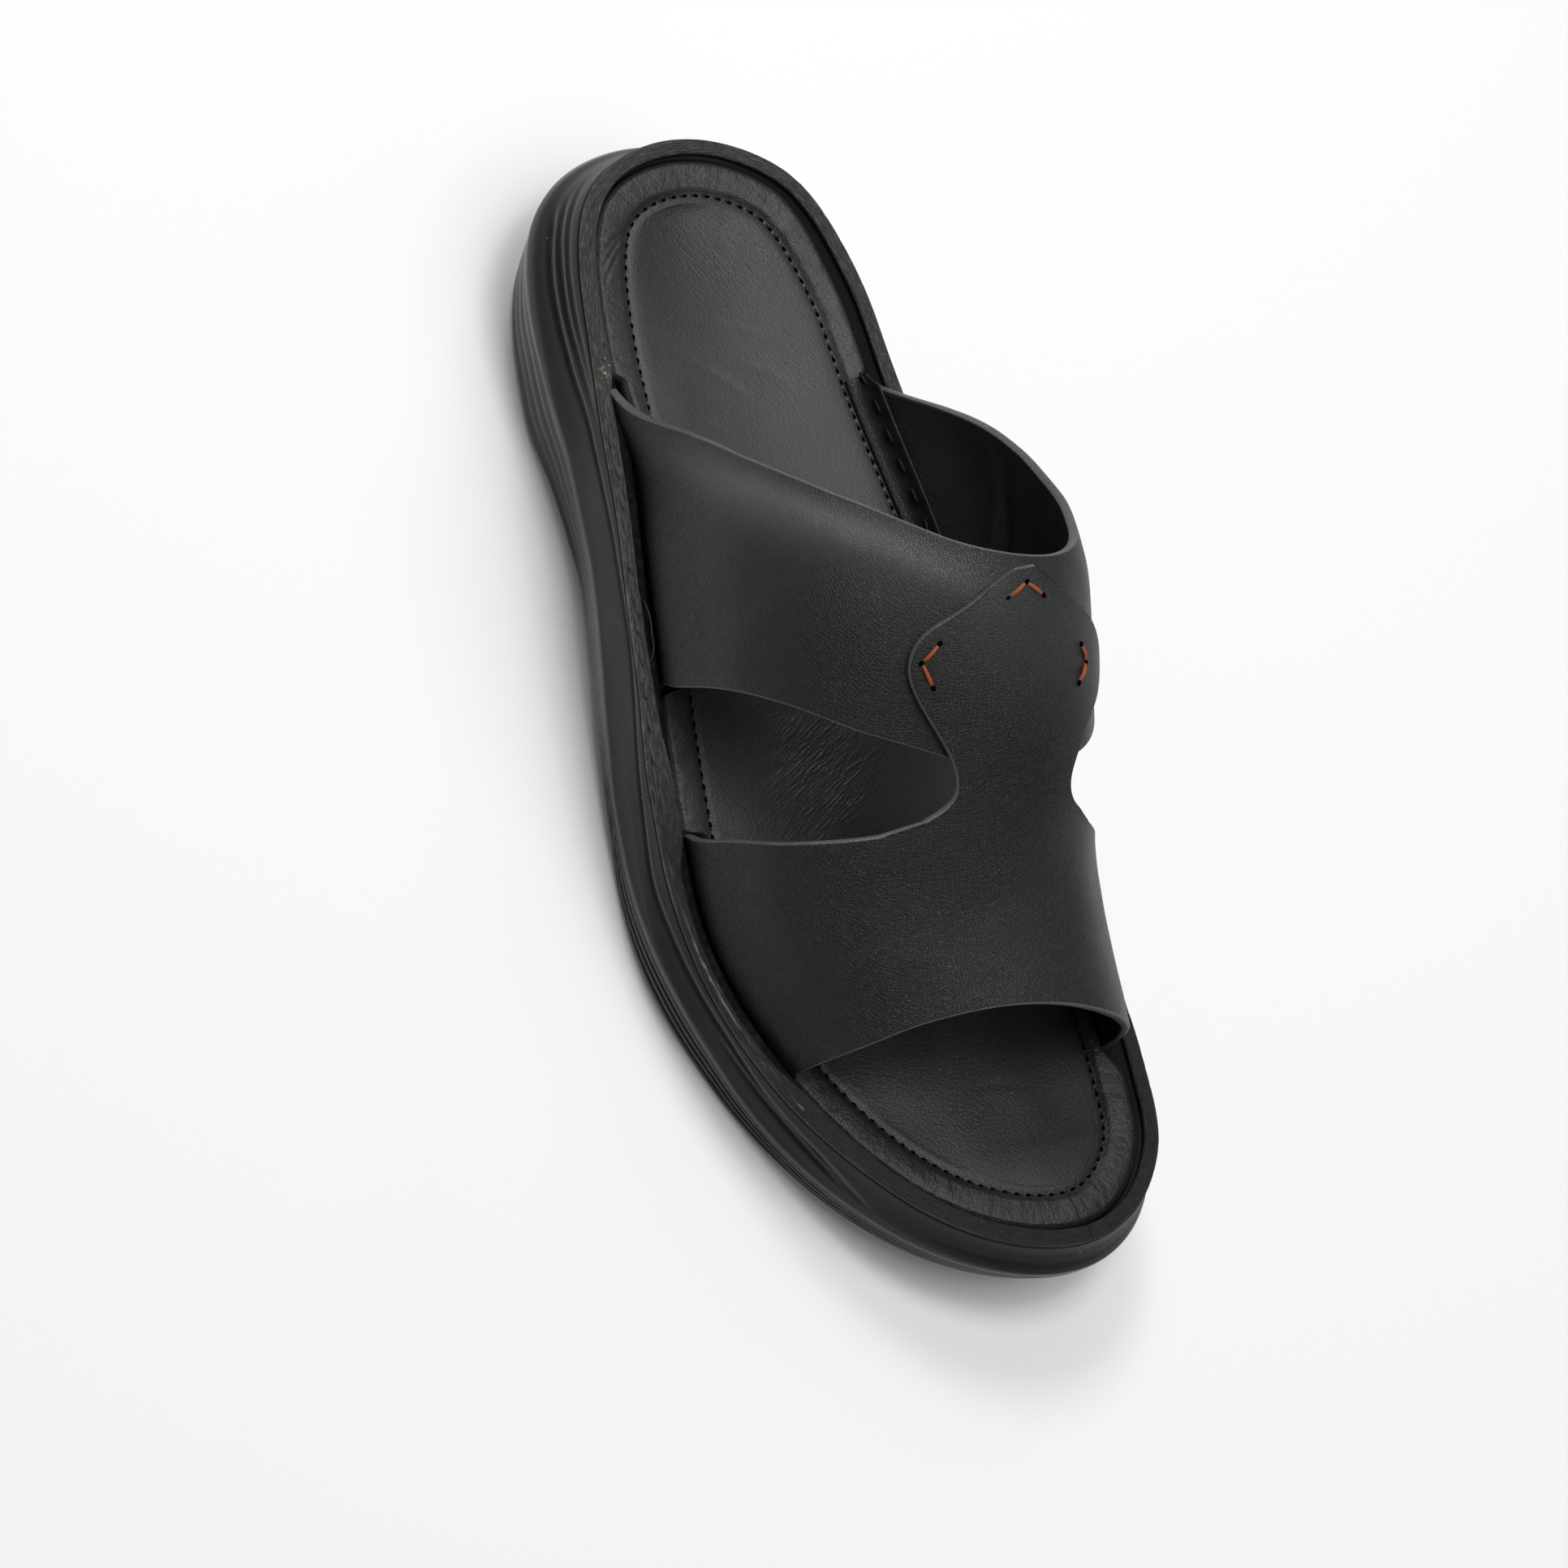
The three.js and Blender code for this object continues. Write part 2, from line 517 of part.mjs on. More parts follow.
function archPoint(along, across) {
  const row = archRow(across);
  const lateralX = sideX(along, -1, lateralInset(along));
  const medialX = sideX(along, 1, STRAP_INSET);
  const half = (medialX - lateralX) / 2;
  const lean = instep.lean(along) * half * row.up * (1 - row.across ** 2);
  const inner = MEDIAL_BULGE * instep.medial(along) * row.medial;
  const outer = LATERAL_BULGE * instep.lateral(along) * row.lateral;
  const x = (medialX + lateralX) / 2 + half * row.across + lean + inner - outer;
  const z = bedEdge(along) + INSTEP_HEIGHT * instep.height(along) * row.up;
  return new THREE.Vector3(x, FOOTBED_LENGTH * (0.5 - along), z);
}
const ACROSS_STEP = 1e-3;
function strapPoint({ along, across, drop }, offset) {
  const alongStep = archPoint(along + ACROSS_STEP, across).sub(archPoint(along - ACROSS_STEP, across));
  const low = Math.max(across - ACROSS_STEP, 0);
  const high = Math.min(across + ACROSS_STEP, 1);
  const acrossStep = archPoint(along, high).sub(archPoint(along, low));
  const normal = alongStep.cross(acrossStep).normalize();
  normal.z *= ease(0, UPRIGHT_SHARE, Math.min(across, 1 - across));
  normal.normalize();
  const depth = bedEdge(along) - trayFloor(along) - CLEARANCE * 2;
  const point = archPoint(along, across).addScaledVector(normal, offset);
  point.z -= drop * depth;
  return point;
}

// A sheet of leather from a net of places on the arch: an inner and an outer face, and its cut edges
function sheet(places, quads, lift) {
  const inner = places.map(place => strapPoint(place, lift(place)));
  const outer = places.map(place => strapPoint(place, lift(place) + STRAP_THICKNESS));
  const count = places.length;
  const faces = quads.flatMap(([a, b, c, d]) => [
    [a, b, c],
    [a, c, d],
    [a + count, c + count, b + count],
    [a + count, d + count, c + count],
  ]);
  const edges = new Map();
  for (const quad of quads) {
    quad.forEach((from, k) => {
      const to = quad[(k + 1) % 4];
      if (!edges.delete(`${to},${from}`)) edges.set(`${from},${to}`, [from, to]);
    });
  }
  for (const [from, to] of edges.values()) {
    faces.push([from, to + count, to], [from, from + count, to + count]);
  }
  return solidOf(meshOf([...inner, ...outer], faces));
}
function solidOf(geometry) {
  const vertProperties = new Float32Array(geometry.getAttribute('position').array);
  const triVerts = new Uint32Array(geometry.getIndex().array);
  const mesh = new wasm.Mesh({ numProp: 3, vertProperties, triVerts });
  mesh.merge();
  return new wasm.Manifold(mesh);
}
function geometryOf(solid) {
  const mesh = solid.getMesh();
  const geometry = new THREE.BufferGeometry();
  geometry.setAttribute('position', new THREE.Float32BufferAttribute(mesh.vertProperties, mesh.numProp));
  geometry.setIndex(Array.from(mesh.triVerts));
  geometry.computeVertexNormals();
  return geometry;
}

// Places of one line across the arch, with the strap feet going straight down at both ends
function footPlaces(along, across) {
  return Array.from({ length: FOOT_STEPS }, (_, k) => ({ along, across, drop: 1 - k / FOOT_STEPS }));
}
function lineAcross(stops, alongAt) {
  const middle = stops.map(across => ({ along: alongAt(across), across, drop: 0 }));
  return [
    ...footPlaces(alongAt(0), 0),
    ...middle,
    ...footPlaces(alongAt(1), 1).reverse(),
  ];
}
function netQuads(startOf, rows, columns) {
  const quads = [];
  for (let r = 0; r + 1 < rows; r += 1) {
    for (let c = 0; c + 1 < columns; c += 1) {
      const low = startOf(r) + c;
      const high = startOf(r + 1) + c;
      quads.push([low, low + 1, high + 1, high]);
    }
  }
  return quads;
}
const between = (front, back, share) => across => mix(front(across), back(across), share);
const stopsBetween = (from, to, count) =>
  Array.from({ length: count }, (_, k) => mix(from, to, k / count));

function rearStrap() {
  const stops = [...stopsBetween(0, 1, STRAP_COLUMNS), 1];
  const lines = Array.from({ length: REAR_ROWS + 1 }, (_, r) =>
    lineAcross(stops, between(strapEdge.rearFront, strapEdge.rearBack, r / REAR_ROWS)));
  const width = lines[0].length;
  return sheet(lines.flat(), netQuads(r => r * width, lines.length, width), () => 0);
}

// The front strap rises onto the rear strap towards its tab
function lapLift({ along, across }) {
  const nearTab = 1 - ease(LAP_FULL, LAP_START, along);
  const nearTop = ease(LAP_FOOT, LAP_TOP, across) * ease(LAP_FOOT, LAP_TOP, 1 - across);
  return (STRAP_THICKNESS - STRAP_FUSE) * nearTab * nearTop;
}
function tabLines() {
  const order = TAB_ROWS.map((_, k) => k);
  const keys = Object.keys(TAB_ROWS[0]);
  const curves = keys.map(key => curveThrough(order, TAB_ROWS.map(row => row[key]), false));
  return Array.from({ length: TAB_STEPS + 1 }, (_, k) => {
    const place = (TAB_ROWS.length - 1) * k / TAB_STEPS;
    return Object.fromEntries(keys.map((key, index) => [key, curves[index](place)]));
  });
}
function frontStrap() {
  const stops = [
    ...stopsBetween(0, TAB_ROOT_LATERAL, LATERAL_COLUMNS),
    ...stopsBetween(TAB_ROOT_LATERAL, TAB_ROOT_MEDIAL, TAB_COLUMNS),
    ...stopsBetween(TAB_ROOT_MEDIAL, 1, MEDIAL_COLUMNS),
    1,
  ];
  const lines = Array.from({ length: FRONT_ROWS + 1 }, (_, r) =>
    lineAcross(stops, between(strapEdge.frontFront, strapEdge.frontBack, r / FRONT_ROWS)));
  const width = lines[0].length;
  const places = lines.flat();
  const quads = netQuads(r => r * width, lines.length, width);
  const rootStart = FRONT_ROWS * width + FOOT_STEPS + LATERAL_COLUMNS;
  const tabStart = places.length;
  for (const row of tabLines()) {
    for (let c = 0; c <= TAB_COLUMNS; c += 1) {
      const share = c / TAB_COLUMNS;
      places.push({
        along: mix(row.lateralAlong, row.medialAlong, share),
        across: mix(row.lateralAcross, row.medialAcross, share),
        drop: 0,
      });
    }
  }
  const startOf = r => (r === 0 ? rootStart : tabStart + (r - 1) * (TAB_COLUMNS + 1));
  quads.push(...netQuads(startOf, TAB_STEPS + 2, TAB_COLUMNS + 1));
  return sheet(places, quads, lapLift);
}
function upperGeometry() {
  return geometryOf(rearStrap().add(frontStrap()));
}

// Materials and the assembled sandal
const rubber = { color: 0x17181a, roughness: 0.55, metalness: 0 };
const buffedLeather = { color: 0x232323, roughness: 0.75, metalness: 0 };
const liningLeather = { color: 0x262628, roughness: 0.5, metalness: 0 };
const smoothLeather = { color: 0x1c1d1f, roughness: 0.42, metalness: 0 };

const sandal = new THREE.Group();
function addPart(name, geometry, finish) {
  const mesh = new THREE.Mesh(geometry, new THREE.MeshStandardMaterial(finish));
  mesh.name = name;
  sandal.add(mesh);
}
addPart('outsole', outsoleGeometry(), rubber);
addPart('welt', weltGeometry(), buffedLeather);
addPart('footbed', footbedGeometry(), liningLeather);
addPart('upper', upperGeometry(), smoothLeather);

// The origin is on the floor, under the middle of the sandal
const box = new THREE.Box3().setFromObject(sandal);
const middle = box.getCenter(new THREE.Vector3());
sandal.position.set(-middle.x, -middle.y, -box.min.z);

export default sandal;
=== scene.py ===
import math

import bmesh
import bpy
import numpy as np
from mathutils import Matrix, Vector


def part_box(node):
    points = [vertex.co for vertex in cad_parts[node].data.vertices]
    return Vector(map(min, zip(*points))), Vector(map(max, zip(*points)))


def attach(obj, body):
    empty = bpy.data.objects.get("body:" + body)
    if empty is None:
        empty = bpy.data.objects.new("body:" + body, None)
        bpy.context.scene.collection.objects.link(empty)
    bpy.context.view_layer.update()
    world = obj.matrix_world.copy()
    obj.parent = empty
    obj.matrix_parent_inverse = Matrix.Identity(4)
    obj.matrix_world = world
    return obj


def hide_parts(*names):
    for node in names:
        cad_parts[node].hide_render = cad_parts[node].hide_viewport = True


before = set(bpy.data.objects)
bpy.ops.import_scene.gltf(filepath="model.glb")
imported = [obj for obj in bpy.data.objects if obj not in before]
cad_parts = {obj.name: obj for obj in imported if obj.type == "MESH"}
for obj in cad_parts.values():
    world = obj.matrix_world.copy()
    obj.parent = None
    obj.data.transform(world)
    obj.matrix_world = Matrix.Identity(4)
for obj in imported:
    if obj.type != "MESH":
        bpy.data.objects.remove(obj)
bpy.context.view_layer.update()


# Camera, floor and light. The sandal is seen from above its outer side, with the heel away from the
# camera and the picture rolled, under soft studio light on a plain pale floor.
MM = 0.001
CAMERA_AZIMUTH = math.radians(-68.478)
CAMERA_ELEVATION = math.radians(56.0)
CAMERA_ROLL = math.radians(51.027)
CAMERA_DISTANCE = 1.56613
CAMERA_LENS = 152.4
SENSOR_WIDTH = 36.0
TARGET = Vector((0.00736, -0.00096, 0.030))
AIM_RIGHT = -0.01461
AIM_UP = -0.02052
HALF_FLOOR = 6.0
FLOOR_COLOR = (0.92, 0.92, 0.92)
FLOOR_GLOW = 0.07
WORLD_STRENGTH = 0.06
# name, place, what it looks at, side of its square, watts
SOFTBOXES = [
    ("softbox_heel", (0.62, 1.05, 1.05), (0, 0.05, 0.03), 0.8, 2.5),
    ("softbox_back", (0.0, 1.2, 1.4), (0, 0, 0.03), 0.5, 10.5),
    ("softbox_top", (0.0, 0.2, 1.7), (0, 0, 0.03), 0.6, 8.5),
    ("softbox_toe", (0.25, -1.35, 0.70), (0, 0, 0.03), 0.7, 1.0),
    ("softbox_key", (0.3, -0.5, 2.2), (0, 0, 0.03), 1.6, 20.0),
]


def put_in_scene(name, data):
    thing = bpy.data.objects.new(name, data)
    bpy.context.scene.collection.objects.link(thing)
    return thing


def feed(node, inputs):
    """Sets a node's inputs by name or number, or links sockets to them. Colours are three numbers."""
    for key, value in inputs.items():
        socket = node.inputs[key]
        if isinstance(value, bpy.types.NodeSocket):
            node.id_data.links.new(value, socket)
        else:
            socket.default_value = (*value, 1.0) if socket.type == "RGBA" else value


def material_of(name, color, roughness, specular=0.5):
    """A new material and its Principled BSDF."""
    material = bpy.data.materials.new(name)
    material.use_nodes = True
    shader = material.node_tree.nodes["Principled BSDF"]
    feed(shader, {"Base Color": color, "Roughness": roughness, "Specular IOR Level": specular})
    return material, shader


back = Vector((
    math.sin(CAMERA_AZIMUTH) * math.cos(CAMERA_ELEVATION),
    -math.cos(CAMERA_AZIMUTH) * math.cos(CAMERA_ELEVATION),
    math.sin(CAMERA_ELEVATION),
))
level_right = (-back).cross(Vector((0, 0, 1))).normalized()
level_up = level_right.cross(-back).normalized()
camera_right = level_right * math.cos(CAMERA_ROLL) + level_up * math.sin(CAMERA_ROLL)
camera_up = level_up * math.cos(CAMERA_ROLL) - level_right * math.sin(CAMERA_ROLL)
camera_place = TARGET + back * CAMERA_DISTANCE
away = (camera_place - TARGET - camera_right * AIM_RIGHT - camera_up * AIM_UP).normalized()
side = camera_up.cross(away).normalized()
camera_data = bpy.data.cameras.new("camera")
camera_data.lens = CAMERA_LENS
camera_data.sensor_width = SENSOR_WIDTH
camera = put_in_scene("camera", camera_data)
turned = Matrix((side, away.cross(side).normalized(), away)).transposed()
camera.matrix_world = Matrix.Translation(camera_place) @ turned.to_4x4()
bpy.context.scene.camera = camera

floor_mesh = bpy.data.meshes.new("floor")
corners = [(x * HALF_FLOOR, y * HALF_FLOOR, 0) for x, y in ((-1, -1), (1, -1), (1, 1), (-1, 1))]
floor_mesh.from_pydata(corners, [], [(0, 1, 2, 3)])
floor = put_in_scene("floor", floor_mesh)
pale_floor, floor_shader = material_of("pale_floor", FLOOR_COLOR, 0.9)
feed(floor_shader, {"Emission Color": FLOOR_COLOR, "Emission Strength": FLOOR_GLOW})
floor_mesh.materials.append(pale_floor)

world = bpy.data.worlds.new("studio")
world.use_nodes = True
feed(world.node_tree.nodes["Background"], {"Color": (1.0, 1.0, 1.0), "Strength": WORLD_STRENGTH})
bpy.context.scene.world = world
bpy.context.scene.view_settings.view_transform = "Standard"
for name, place, toward, width, watts in SOFTBOXES:
    lamp_data = bpy.data.lights.new(name, "AREA")
    lamp_data.size = width
    lamp_data.energy = watts
    lamp = put_in_scene(name, lamp_data)
    lamp.location = place
    lamp.rotation_euler = (Vector(toward) - Vector(place)).to_track_quat("-Z", "Y").to_euler()


# Outsole. A moulded polyurethane unit: a wall with a lip half way up, flutes over the lip, fine ribs
# under it, an arch, a toe spring and a shallow tray that takes the footbed. It is one casting.
FOOTBED_LENGTH = 272.0
HEEL_WIDTH = 70.0
BALL_WIDTH = 94.0
HEEL_HEIGHT = 42.5
BALL_HEIGHT = 25.0
TOE_LIFT = 8.0
ARCH_HEIGHT = 6.0
TOE_SPRING = 12.0
HEEL_BEVEL = 3.0
HEEL_FLARE = 5.0
FORE_FLARE = 4.3
WAIST_TUCK = 7.0
TRAY_DEPTH = 8.0
CLEARANCE = 0.35
WELT_WIDTH = 3.8
WELT_SPREAD = 2.7
WELT_THICKNESS = 2.0
FOOTBED_GAP = 0.6
TOE_TIP_ACROSS = 0.099
# along, lateral, medial
HEEL_ROWS = [
    (0.015, 0.229, 0.235), (0.055, 0.365, 0.409), (0.147, 0.476, 0.491), (0.257, 0.546, 0.487),
]
BALL_ROWS = [
    (0.404, 0.508, 0.385), (0.551, 0.57, 0.4), (0.68, 0.588, 0.434), (0.79, 0.515, 0.446),
    (0.882, 0.394, 0.415), (0.949, 0.238, 0.353),
]
# along, share of the drop from heel to ball, share of the toe lift
RIM_ROWS = [
    (0, 1, 0), (0.22, 0.99, 0), (0.35, 0.93, 0), (0.44, 0.79, 0), (0.56, 0.42, 0),
    (0.68, 0.07, 0), (0.77, 0, 0.03), (0.92, 0, 0.42), (1, 0, 0.8),
]
# along, bevel, arch, spring
UNDER_ROWS = [
    (0, 1, 0, 0), (0.05, 0, 0, 0), (0.27, 0, 0, 0), (0.34, 0, 0.55, 0),
    (0.43, 0, 1, 0), (0.52, 0, 0.6, 0), (0.61, 0, 0, 0), (0.77, 0, 0, 0),
    (0.88, 0, 0, 0.26), (1, 0, 0, 1),
]
# height up the wall, outset at the heel as a share of the flare
HEEL_PROFILE = [
    (0, -0.3), (0.03, 0.06), (0.09, 0.18), (0.23, 0.45), (0.375, 0.7), (0.47, 0.86), (0.53, 1),
    (0.58, 0.92), (0.68, 0.58), (0.74, 0.44), (0.8, 0.3), (0.86, 0.18), (0.985, 0.04), (1, -0.04),
]
# the same at the forefoot
FORE_PROFILE = [
    (0, 0.3), (0.06, 0.62), (0.13, 0.72), (0.225, 0.83), (0.32, 0.92), (0.415, 0.97), (0.51, 0.98),
    (0.56, 1), (0.62, 0.88), (0.72, 0.56), (0.78, 0.4), (0.83, 0.27), (0.89, 0.16), (0.985, 0.04),
    (1, -0.04),
]
# along, share of the heel profile, flare, rib strength, tuck
WALL_BLEND_ROWS = [
    (0, 1, 1.2, 0.8, 0), (0.09, 1, 1, 0.9, 0), (0.17, 1, 0.5, 1, 0.05),
    (0.23, 1, 0.15, 1, 0.45), (0.31, 0.9, 0, 0.6, 0.82), (0.38, 0.7, 0, 0.2, 0.64),
    (0.45, 0.4, 0, 0.2, 0.3), (0.54, 0.1, 0.15, 0.9, 0.1), (0.66, 0, 0.45, 1, 0),
    (0.8, 0, 0.2, 0.8, 0), (0.9, 0, 0.4, 0.7, 0), (1, 0, 0.95, 0.7, 0),
]
# along, how far the rim stands out on the outer side as a share of the spread
SPREAD_ROWS = [
    (0, 0), (0.14, 0), (0.25, 0.75), (0.34, 0.4), (0.45, 0.45), (0.54, 0.85), (0.6, 0.8),
    (0.68, 0.4), (0.75, 0.45), (0.82, 0.4), (0.92, 0), (1, 0),
]
# The lip: along, height up the wall
LIP_ROWS = [
    (0, 0.54), (0.08, 0.57), (0.15, 0.53), (0.22, 0.45), (0.3, 0.39), (0.35, 0.39), (0.4, 0.33),
    (0.46, 0.25), (0.52, 0.22), (0.56, 0.26), (0.61, 0.36), (0.65, 0.45), (0.7, 0.5), (0.75, 0.46),
    (0.8, 0.38), (0.85, 0.35), (0.93, 0.42), (1, 0.5),
]
# Flutes over the lip: along, height up the wall, depth in mm
UPPER_FLUTE = [
    (0.01, 0.82, 0), (0.036, 0.86, 0.35), (0.07, 0.88, 0.5), (0.13, 0.9, 0.5), (0.17, 0.93, 0.35),
    (0.21, 0.97, 0),
]
MIDDLE_FLUTE = [
    (0.018, 0.75, 0), (0.04, 0.78, 0.5), (0.08, 0.81, 0.6), (0.12, 0.82, 0.6), (0.16, 0.86, 0.5),
    (0.2, 0.92, 0.25), (0.23, 0.97, 0),
]
LONG_FLUTE = [
    (0.024, 0.67, 0), (0.045, 0.71, 0.55), (0.1, 0.73, 0.65), (0.16, 0.76, 0.6), (0.22, 0.83, 0.5),
    (0.28, 0.86, 0.45), (0.34, 0.9, 0.35), (0.41, 0.95, 0.3), (0.47, 0.88, 0.35), (0.54, 0.8, 0.4),
    (0.61, 0.74, 0.4), (0.66, 0.8, 0.35), (0.74, 0.85, 0.4), (0.81, 0.77, 0.55), (0.86, 0.73, 0.55),
    (0.9, 0.62, 0.3), (0.92, 0.56, 0),
]
TOE_FLUTE = [
    (0.74, 0.76, 0), (0.78, 0.72, 0.3), (0.83, 0.69, 0.45), (0.87, 0.64, 0.4), (0.905, 0.54, 0),
]
FLUTE_HALF_WIDTH = 0.74
LIP_HALF_WIDTH = 2.2
LIP_STANDOUT = 0.55
RIB_DEPTH = 0.95
FLUTE_SHARPNESS = 1.3
RIB_COUNT = 4.6
# How the ribs wander round the wall: size in ribs, waves round the sole, shift
RIB_WANDER = [(0.10, 7, 1.0), (0.07, 17, 0.0), (0.05, 31, 2.0)]
RING_STEPS = 760
WALL_STEPS = 84
TREAD_COLUMNS = 44
TREAD_DEPTH = 1.0
TREAD_PITCH = 7.0
TREAD_BORDER = 7.0
TREAD_BEND, TREAD_WAVE = 3.0, 26.0
TREAD_FLATS, TREAD_FADE = [(0.05, 0.30), (0.57, 0.93)], 0.03
FLUTE_RIDGE = 1.1
RUBBER_DARK = (0.0105, 0.0107, 0.0115)
RUBBER_PALE = (0.0150, 0.0152, 0.0160)
RUBBER_SPECK = (0.16, 0.16, 0.16)
RUBBER_ROUGHNESS = (0.44, 0.56)
RUBBER_SPECULAR = 0.10
POLISH_GLOSS = 0.85
POLISH_ROUGHNESS = 0.25
DUST_PATCH = 0.56
TURN_STEP = 1e-3


def curve_through(rows, key=1, steady=True):
    """A smooth curve through rows, from their first column to another. A steady one never overshoots."""
    xs = np.array([row[0] for row in rows], float)
    ys = np.array([row[key] for row in rows], float)
    rise = np.diff(ys) / np.diff(xs)
    slopes = np.concatenate([rise[:1], np.zeros(len(xs) - 2), rise[-1:]])
    before, after = rise[:-1], rise[1:]
    if steady:
        total = np.where(before * after > 0, before + after, 1.0)
        slopes[1:-1] = np.where(before * after > 0, 2 * before * after / total, 0.0)
    else:
        slopes[1:-1] = (ys[2:] - ys[:-2]) / (xs[2:] - xs[:-2])

    def at(x):
        x = np.clip(x, xs[0], xs[-1])
        k = np.clip(np.searchsorted(xs, x, side="right") - 1, 0, len(xs) - 2)
        span = xs[k + 1] - xs[k]
        u = (x - xs[k]) / span
        start = (1 + 2 * u) * (1 - u) ** 2 * ys[k] + u * (1 - u) ** 2 * span * slopes[k]
        return start + u * u * (3 - 2 * u) * ys[k + 1] - u * u * (1 - u) * span * slopes[k + 1]
    return at


def curves(rows, steady=True):
    """The curves from the first column of some rows to each of the others."""
    return [curve_through(rows, key, steady) for key in range(1, len(rows[0]))]


def mix(a, b, share):
    return a + (b - a) * share


def ease(start, end, value):
    share = np.clip((value - start) / (end - start), 0, 1)
    return share * share * (3 - 2 * share)


def turn_at(along):
    return np.arccos(1 - 2 * np.clip(along, 0, 1))


def along_of(turn):
    return (1 - np.cos(turn)) / 2


outline_rows = [(turn_at(a), -l * HEEL_WIDTH, m * HEEL_WIDTH) for a, l, m in HEEL_ROWS]
outline_rows += [(turn_at(a), -l * BALL_WIDTH, m * BALL_WIDTH) for a, l, m in BALL_ROWS]
toe_tip = TOE_TIP_ACROSS * BALL_WIDTH
outline_points = [(outline_rows[-1][0] - 2 * math.pi, outline_rows[-1][2]), (-math.pi, toe_tip)]
outline_points += [(-turn, lateral) for turn, lateral, medial in reversed(outline_rows)]
outline_points += [(0.0, 0.0)]
outline_points += [(turn, medial) for turn, lateral, medial in outline_rows]
outline_points += [(math.pi, toe_tip), (2 * math.pi - outline_rows[-1][0], outline_rows[-1][1])]
outline_x = curve_through(outline_points, steady=False)


def plan_point(turn, outset, height):
    """Points of the footbed's outline, moved outwards in plan, at a height. All in mm."""
    slope_x = (outline_x(turn + TURN_STEP) - outline_x(turn - TURN_STEP)) / (2 * TURN_STEP)
    slope_y = -FOOTBED_LENGTH / 2 * np.sin(turn)
    size = np.hypot(slope_x, slope_y)
    x = outline_x(turn) - outset * slope_y / size
    y = FOOTBED_LENGTH / 2 * np.cos(turn) + outset * slope_x / size
    return np.stack(np.broadcast_arrays(x, y, height), axis=-1)


rim_heel, rim_toe = curves(RIM_ROWS)
under_bevel, under_arch, under_spring = curves(UNDER_ROWS)


def rim_top(along):
    return BALL_HEIGHT + (HEEL_HEIGHT - BALL_HEIGHT) * rim_heel(along) + TOE_LIFT * rim_toe(along)


def underside(along):
    bevel, arch, spring = under_bevel(along), under_arch(along), under_spring(along)
    return HEEL_BEVEL * bevel + ARCH_HEIGHT * arch + TOE_SPRING * spring


def wall_top(along):
    return rim_top(along) - WELT_THICKNESS - CLEARANCE


def wall_height(along):
    return wall_top(along) - underside(along)


blend_heel, blend_flare, blend_ribs, blend_tuck = curves(WALL_BLEND_ROWS)
heel_profile, fore_profile, spread, lip = (
    curve_through(rows) for rows in (HEEL_PROFILE, FORE_PROFILE, SPREAD_ROWS, LIP_ROWS))


def rim_spread(turn):
    return np.where(turn < 0, WELT_SPREAD * spread(along_of(turn)), 0.0)


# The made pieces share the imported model's place: their origin is found from the welt's box.
every_turn = np.linspace(-math.pi, math.pi, RING_STEPS, endpoint=False)
rim_edge = plan_point(every_turn, FOOTBED_GAP + WELT_WIDTH + rim_spread(every_turn), 0.0)
welt_low, welt_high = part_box("welt")
ORIGIN = np.array((welt_low + welt_high) / 2 / MM) - (rim_edge.min(axis=0) + rim_edge.max(axis=0)) / 2
ORIGIN[2] = 0.0


def flute_cuts(along, rise):
    """How far the flutes cut in at places on the wall, in mm. Rise is the height up the wall in mm."""
    cuts = 0.0
    for rows in (UPPER_FLUTE, MIDDLE_FLUTE, LONG_FLUTE, TOE_FLUTE):
        place, depth = curves(rows)
        inside = (along >= rows[0][0]) & (along <= rows[-1][0])
        distance = rise - place(along) * wall_height(along)
        cut = FLUTE_SHARPNESS * depth(along) * np.exp(-(distance / FLUTE_HALF_WIDTH) ** 2)
        cuts = cuts + np.where(inside, cut, 0.0)
    return cuts


def wall_relief(turn, up):
    """The fine shape of the wall: flutes, lip and ribs, as an outset in mm."""
    along = along_of(turn)
    from_lip = (up - lip(along)) * wall_height(along)
    edge = LIP_STANDOUT * np.exp(-np.abs(from_lip) / LIP_HALF_WIDTH)
    wander = sum(size * np.sin(waves * turn + shift) for size, waves, shift in RIB_WANDER)
    share = up / lip(along)
    wave = np.abs(np.sin(math.pi * (RIB_COUNT * share + wander * np.sin(math.pi * share)))) - 0.65
    under_lip = ease(0.05, 0.16, share) * (1 - ease(0.80, 0.95, share))
    cuts = flute_cuts(along, up * wall_height(along))
    return edge - cuts + RIB_DEPTH * blend_ribs(along) * wave * under_lip


def wall_point(turn, up):
    along = along_of(turn)
    heel = blend_heel(along)
    flare = mix(FORE_FLARE, HEEL_FLARE, heel) * blend_flare(along)
    tuck = WAIST_TUCK * blend_tuck(along) * (1 - up) ** 2
    base = FOOTBED_GAP + WELT_WIDTH + rim_spread(turn) * up ** 2
    outset = base + flare * mix(fore_profile(up), heel_profile(up), heel) - tuck
    fade = ease(0.0, 0.03, up) * (1 - ease(0.97, 1.0, up))
    outset = outset + fade * wall_relief(turn, up)
    return plan_point(turn, outset, mix(underside(along), wall_top(along), up))


def ring_faces(rings, steps):
    """Quads between neighbouring closed rings."""
    k = np.arange(steps)
    after = (k + 1) % steps
    faces = []
    for r in range(rings - 1):
        low, high = r * steps, (r + 1) * steps
        faces += np.stack([low + k, low + after, high + after, high + k], axis=1).tolist()
    return faces


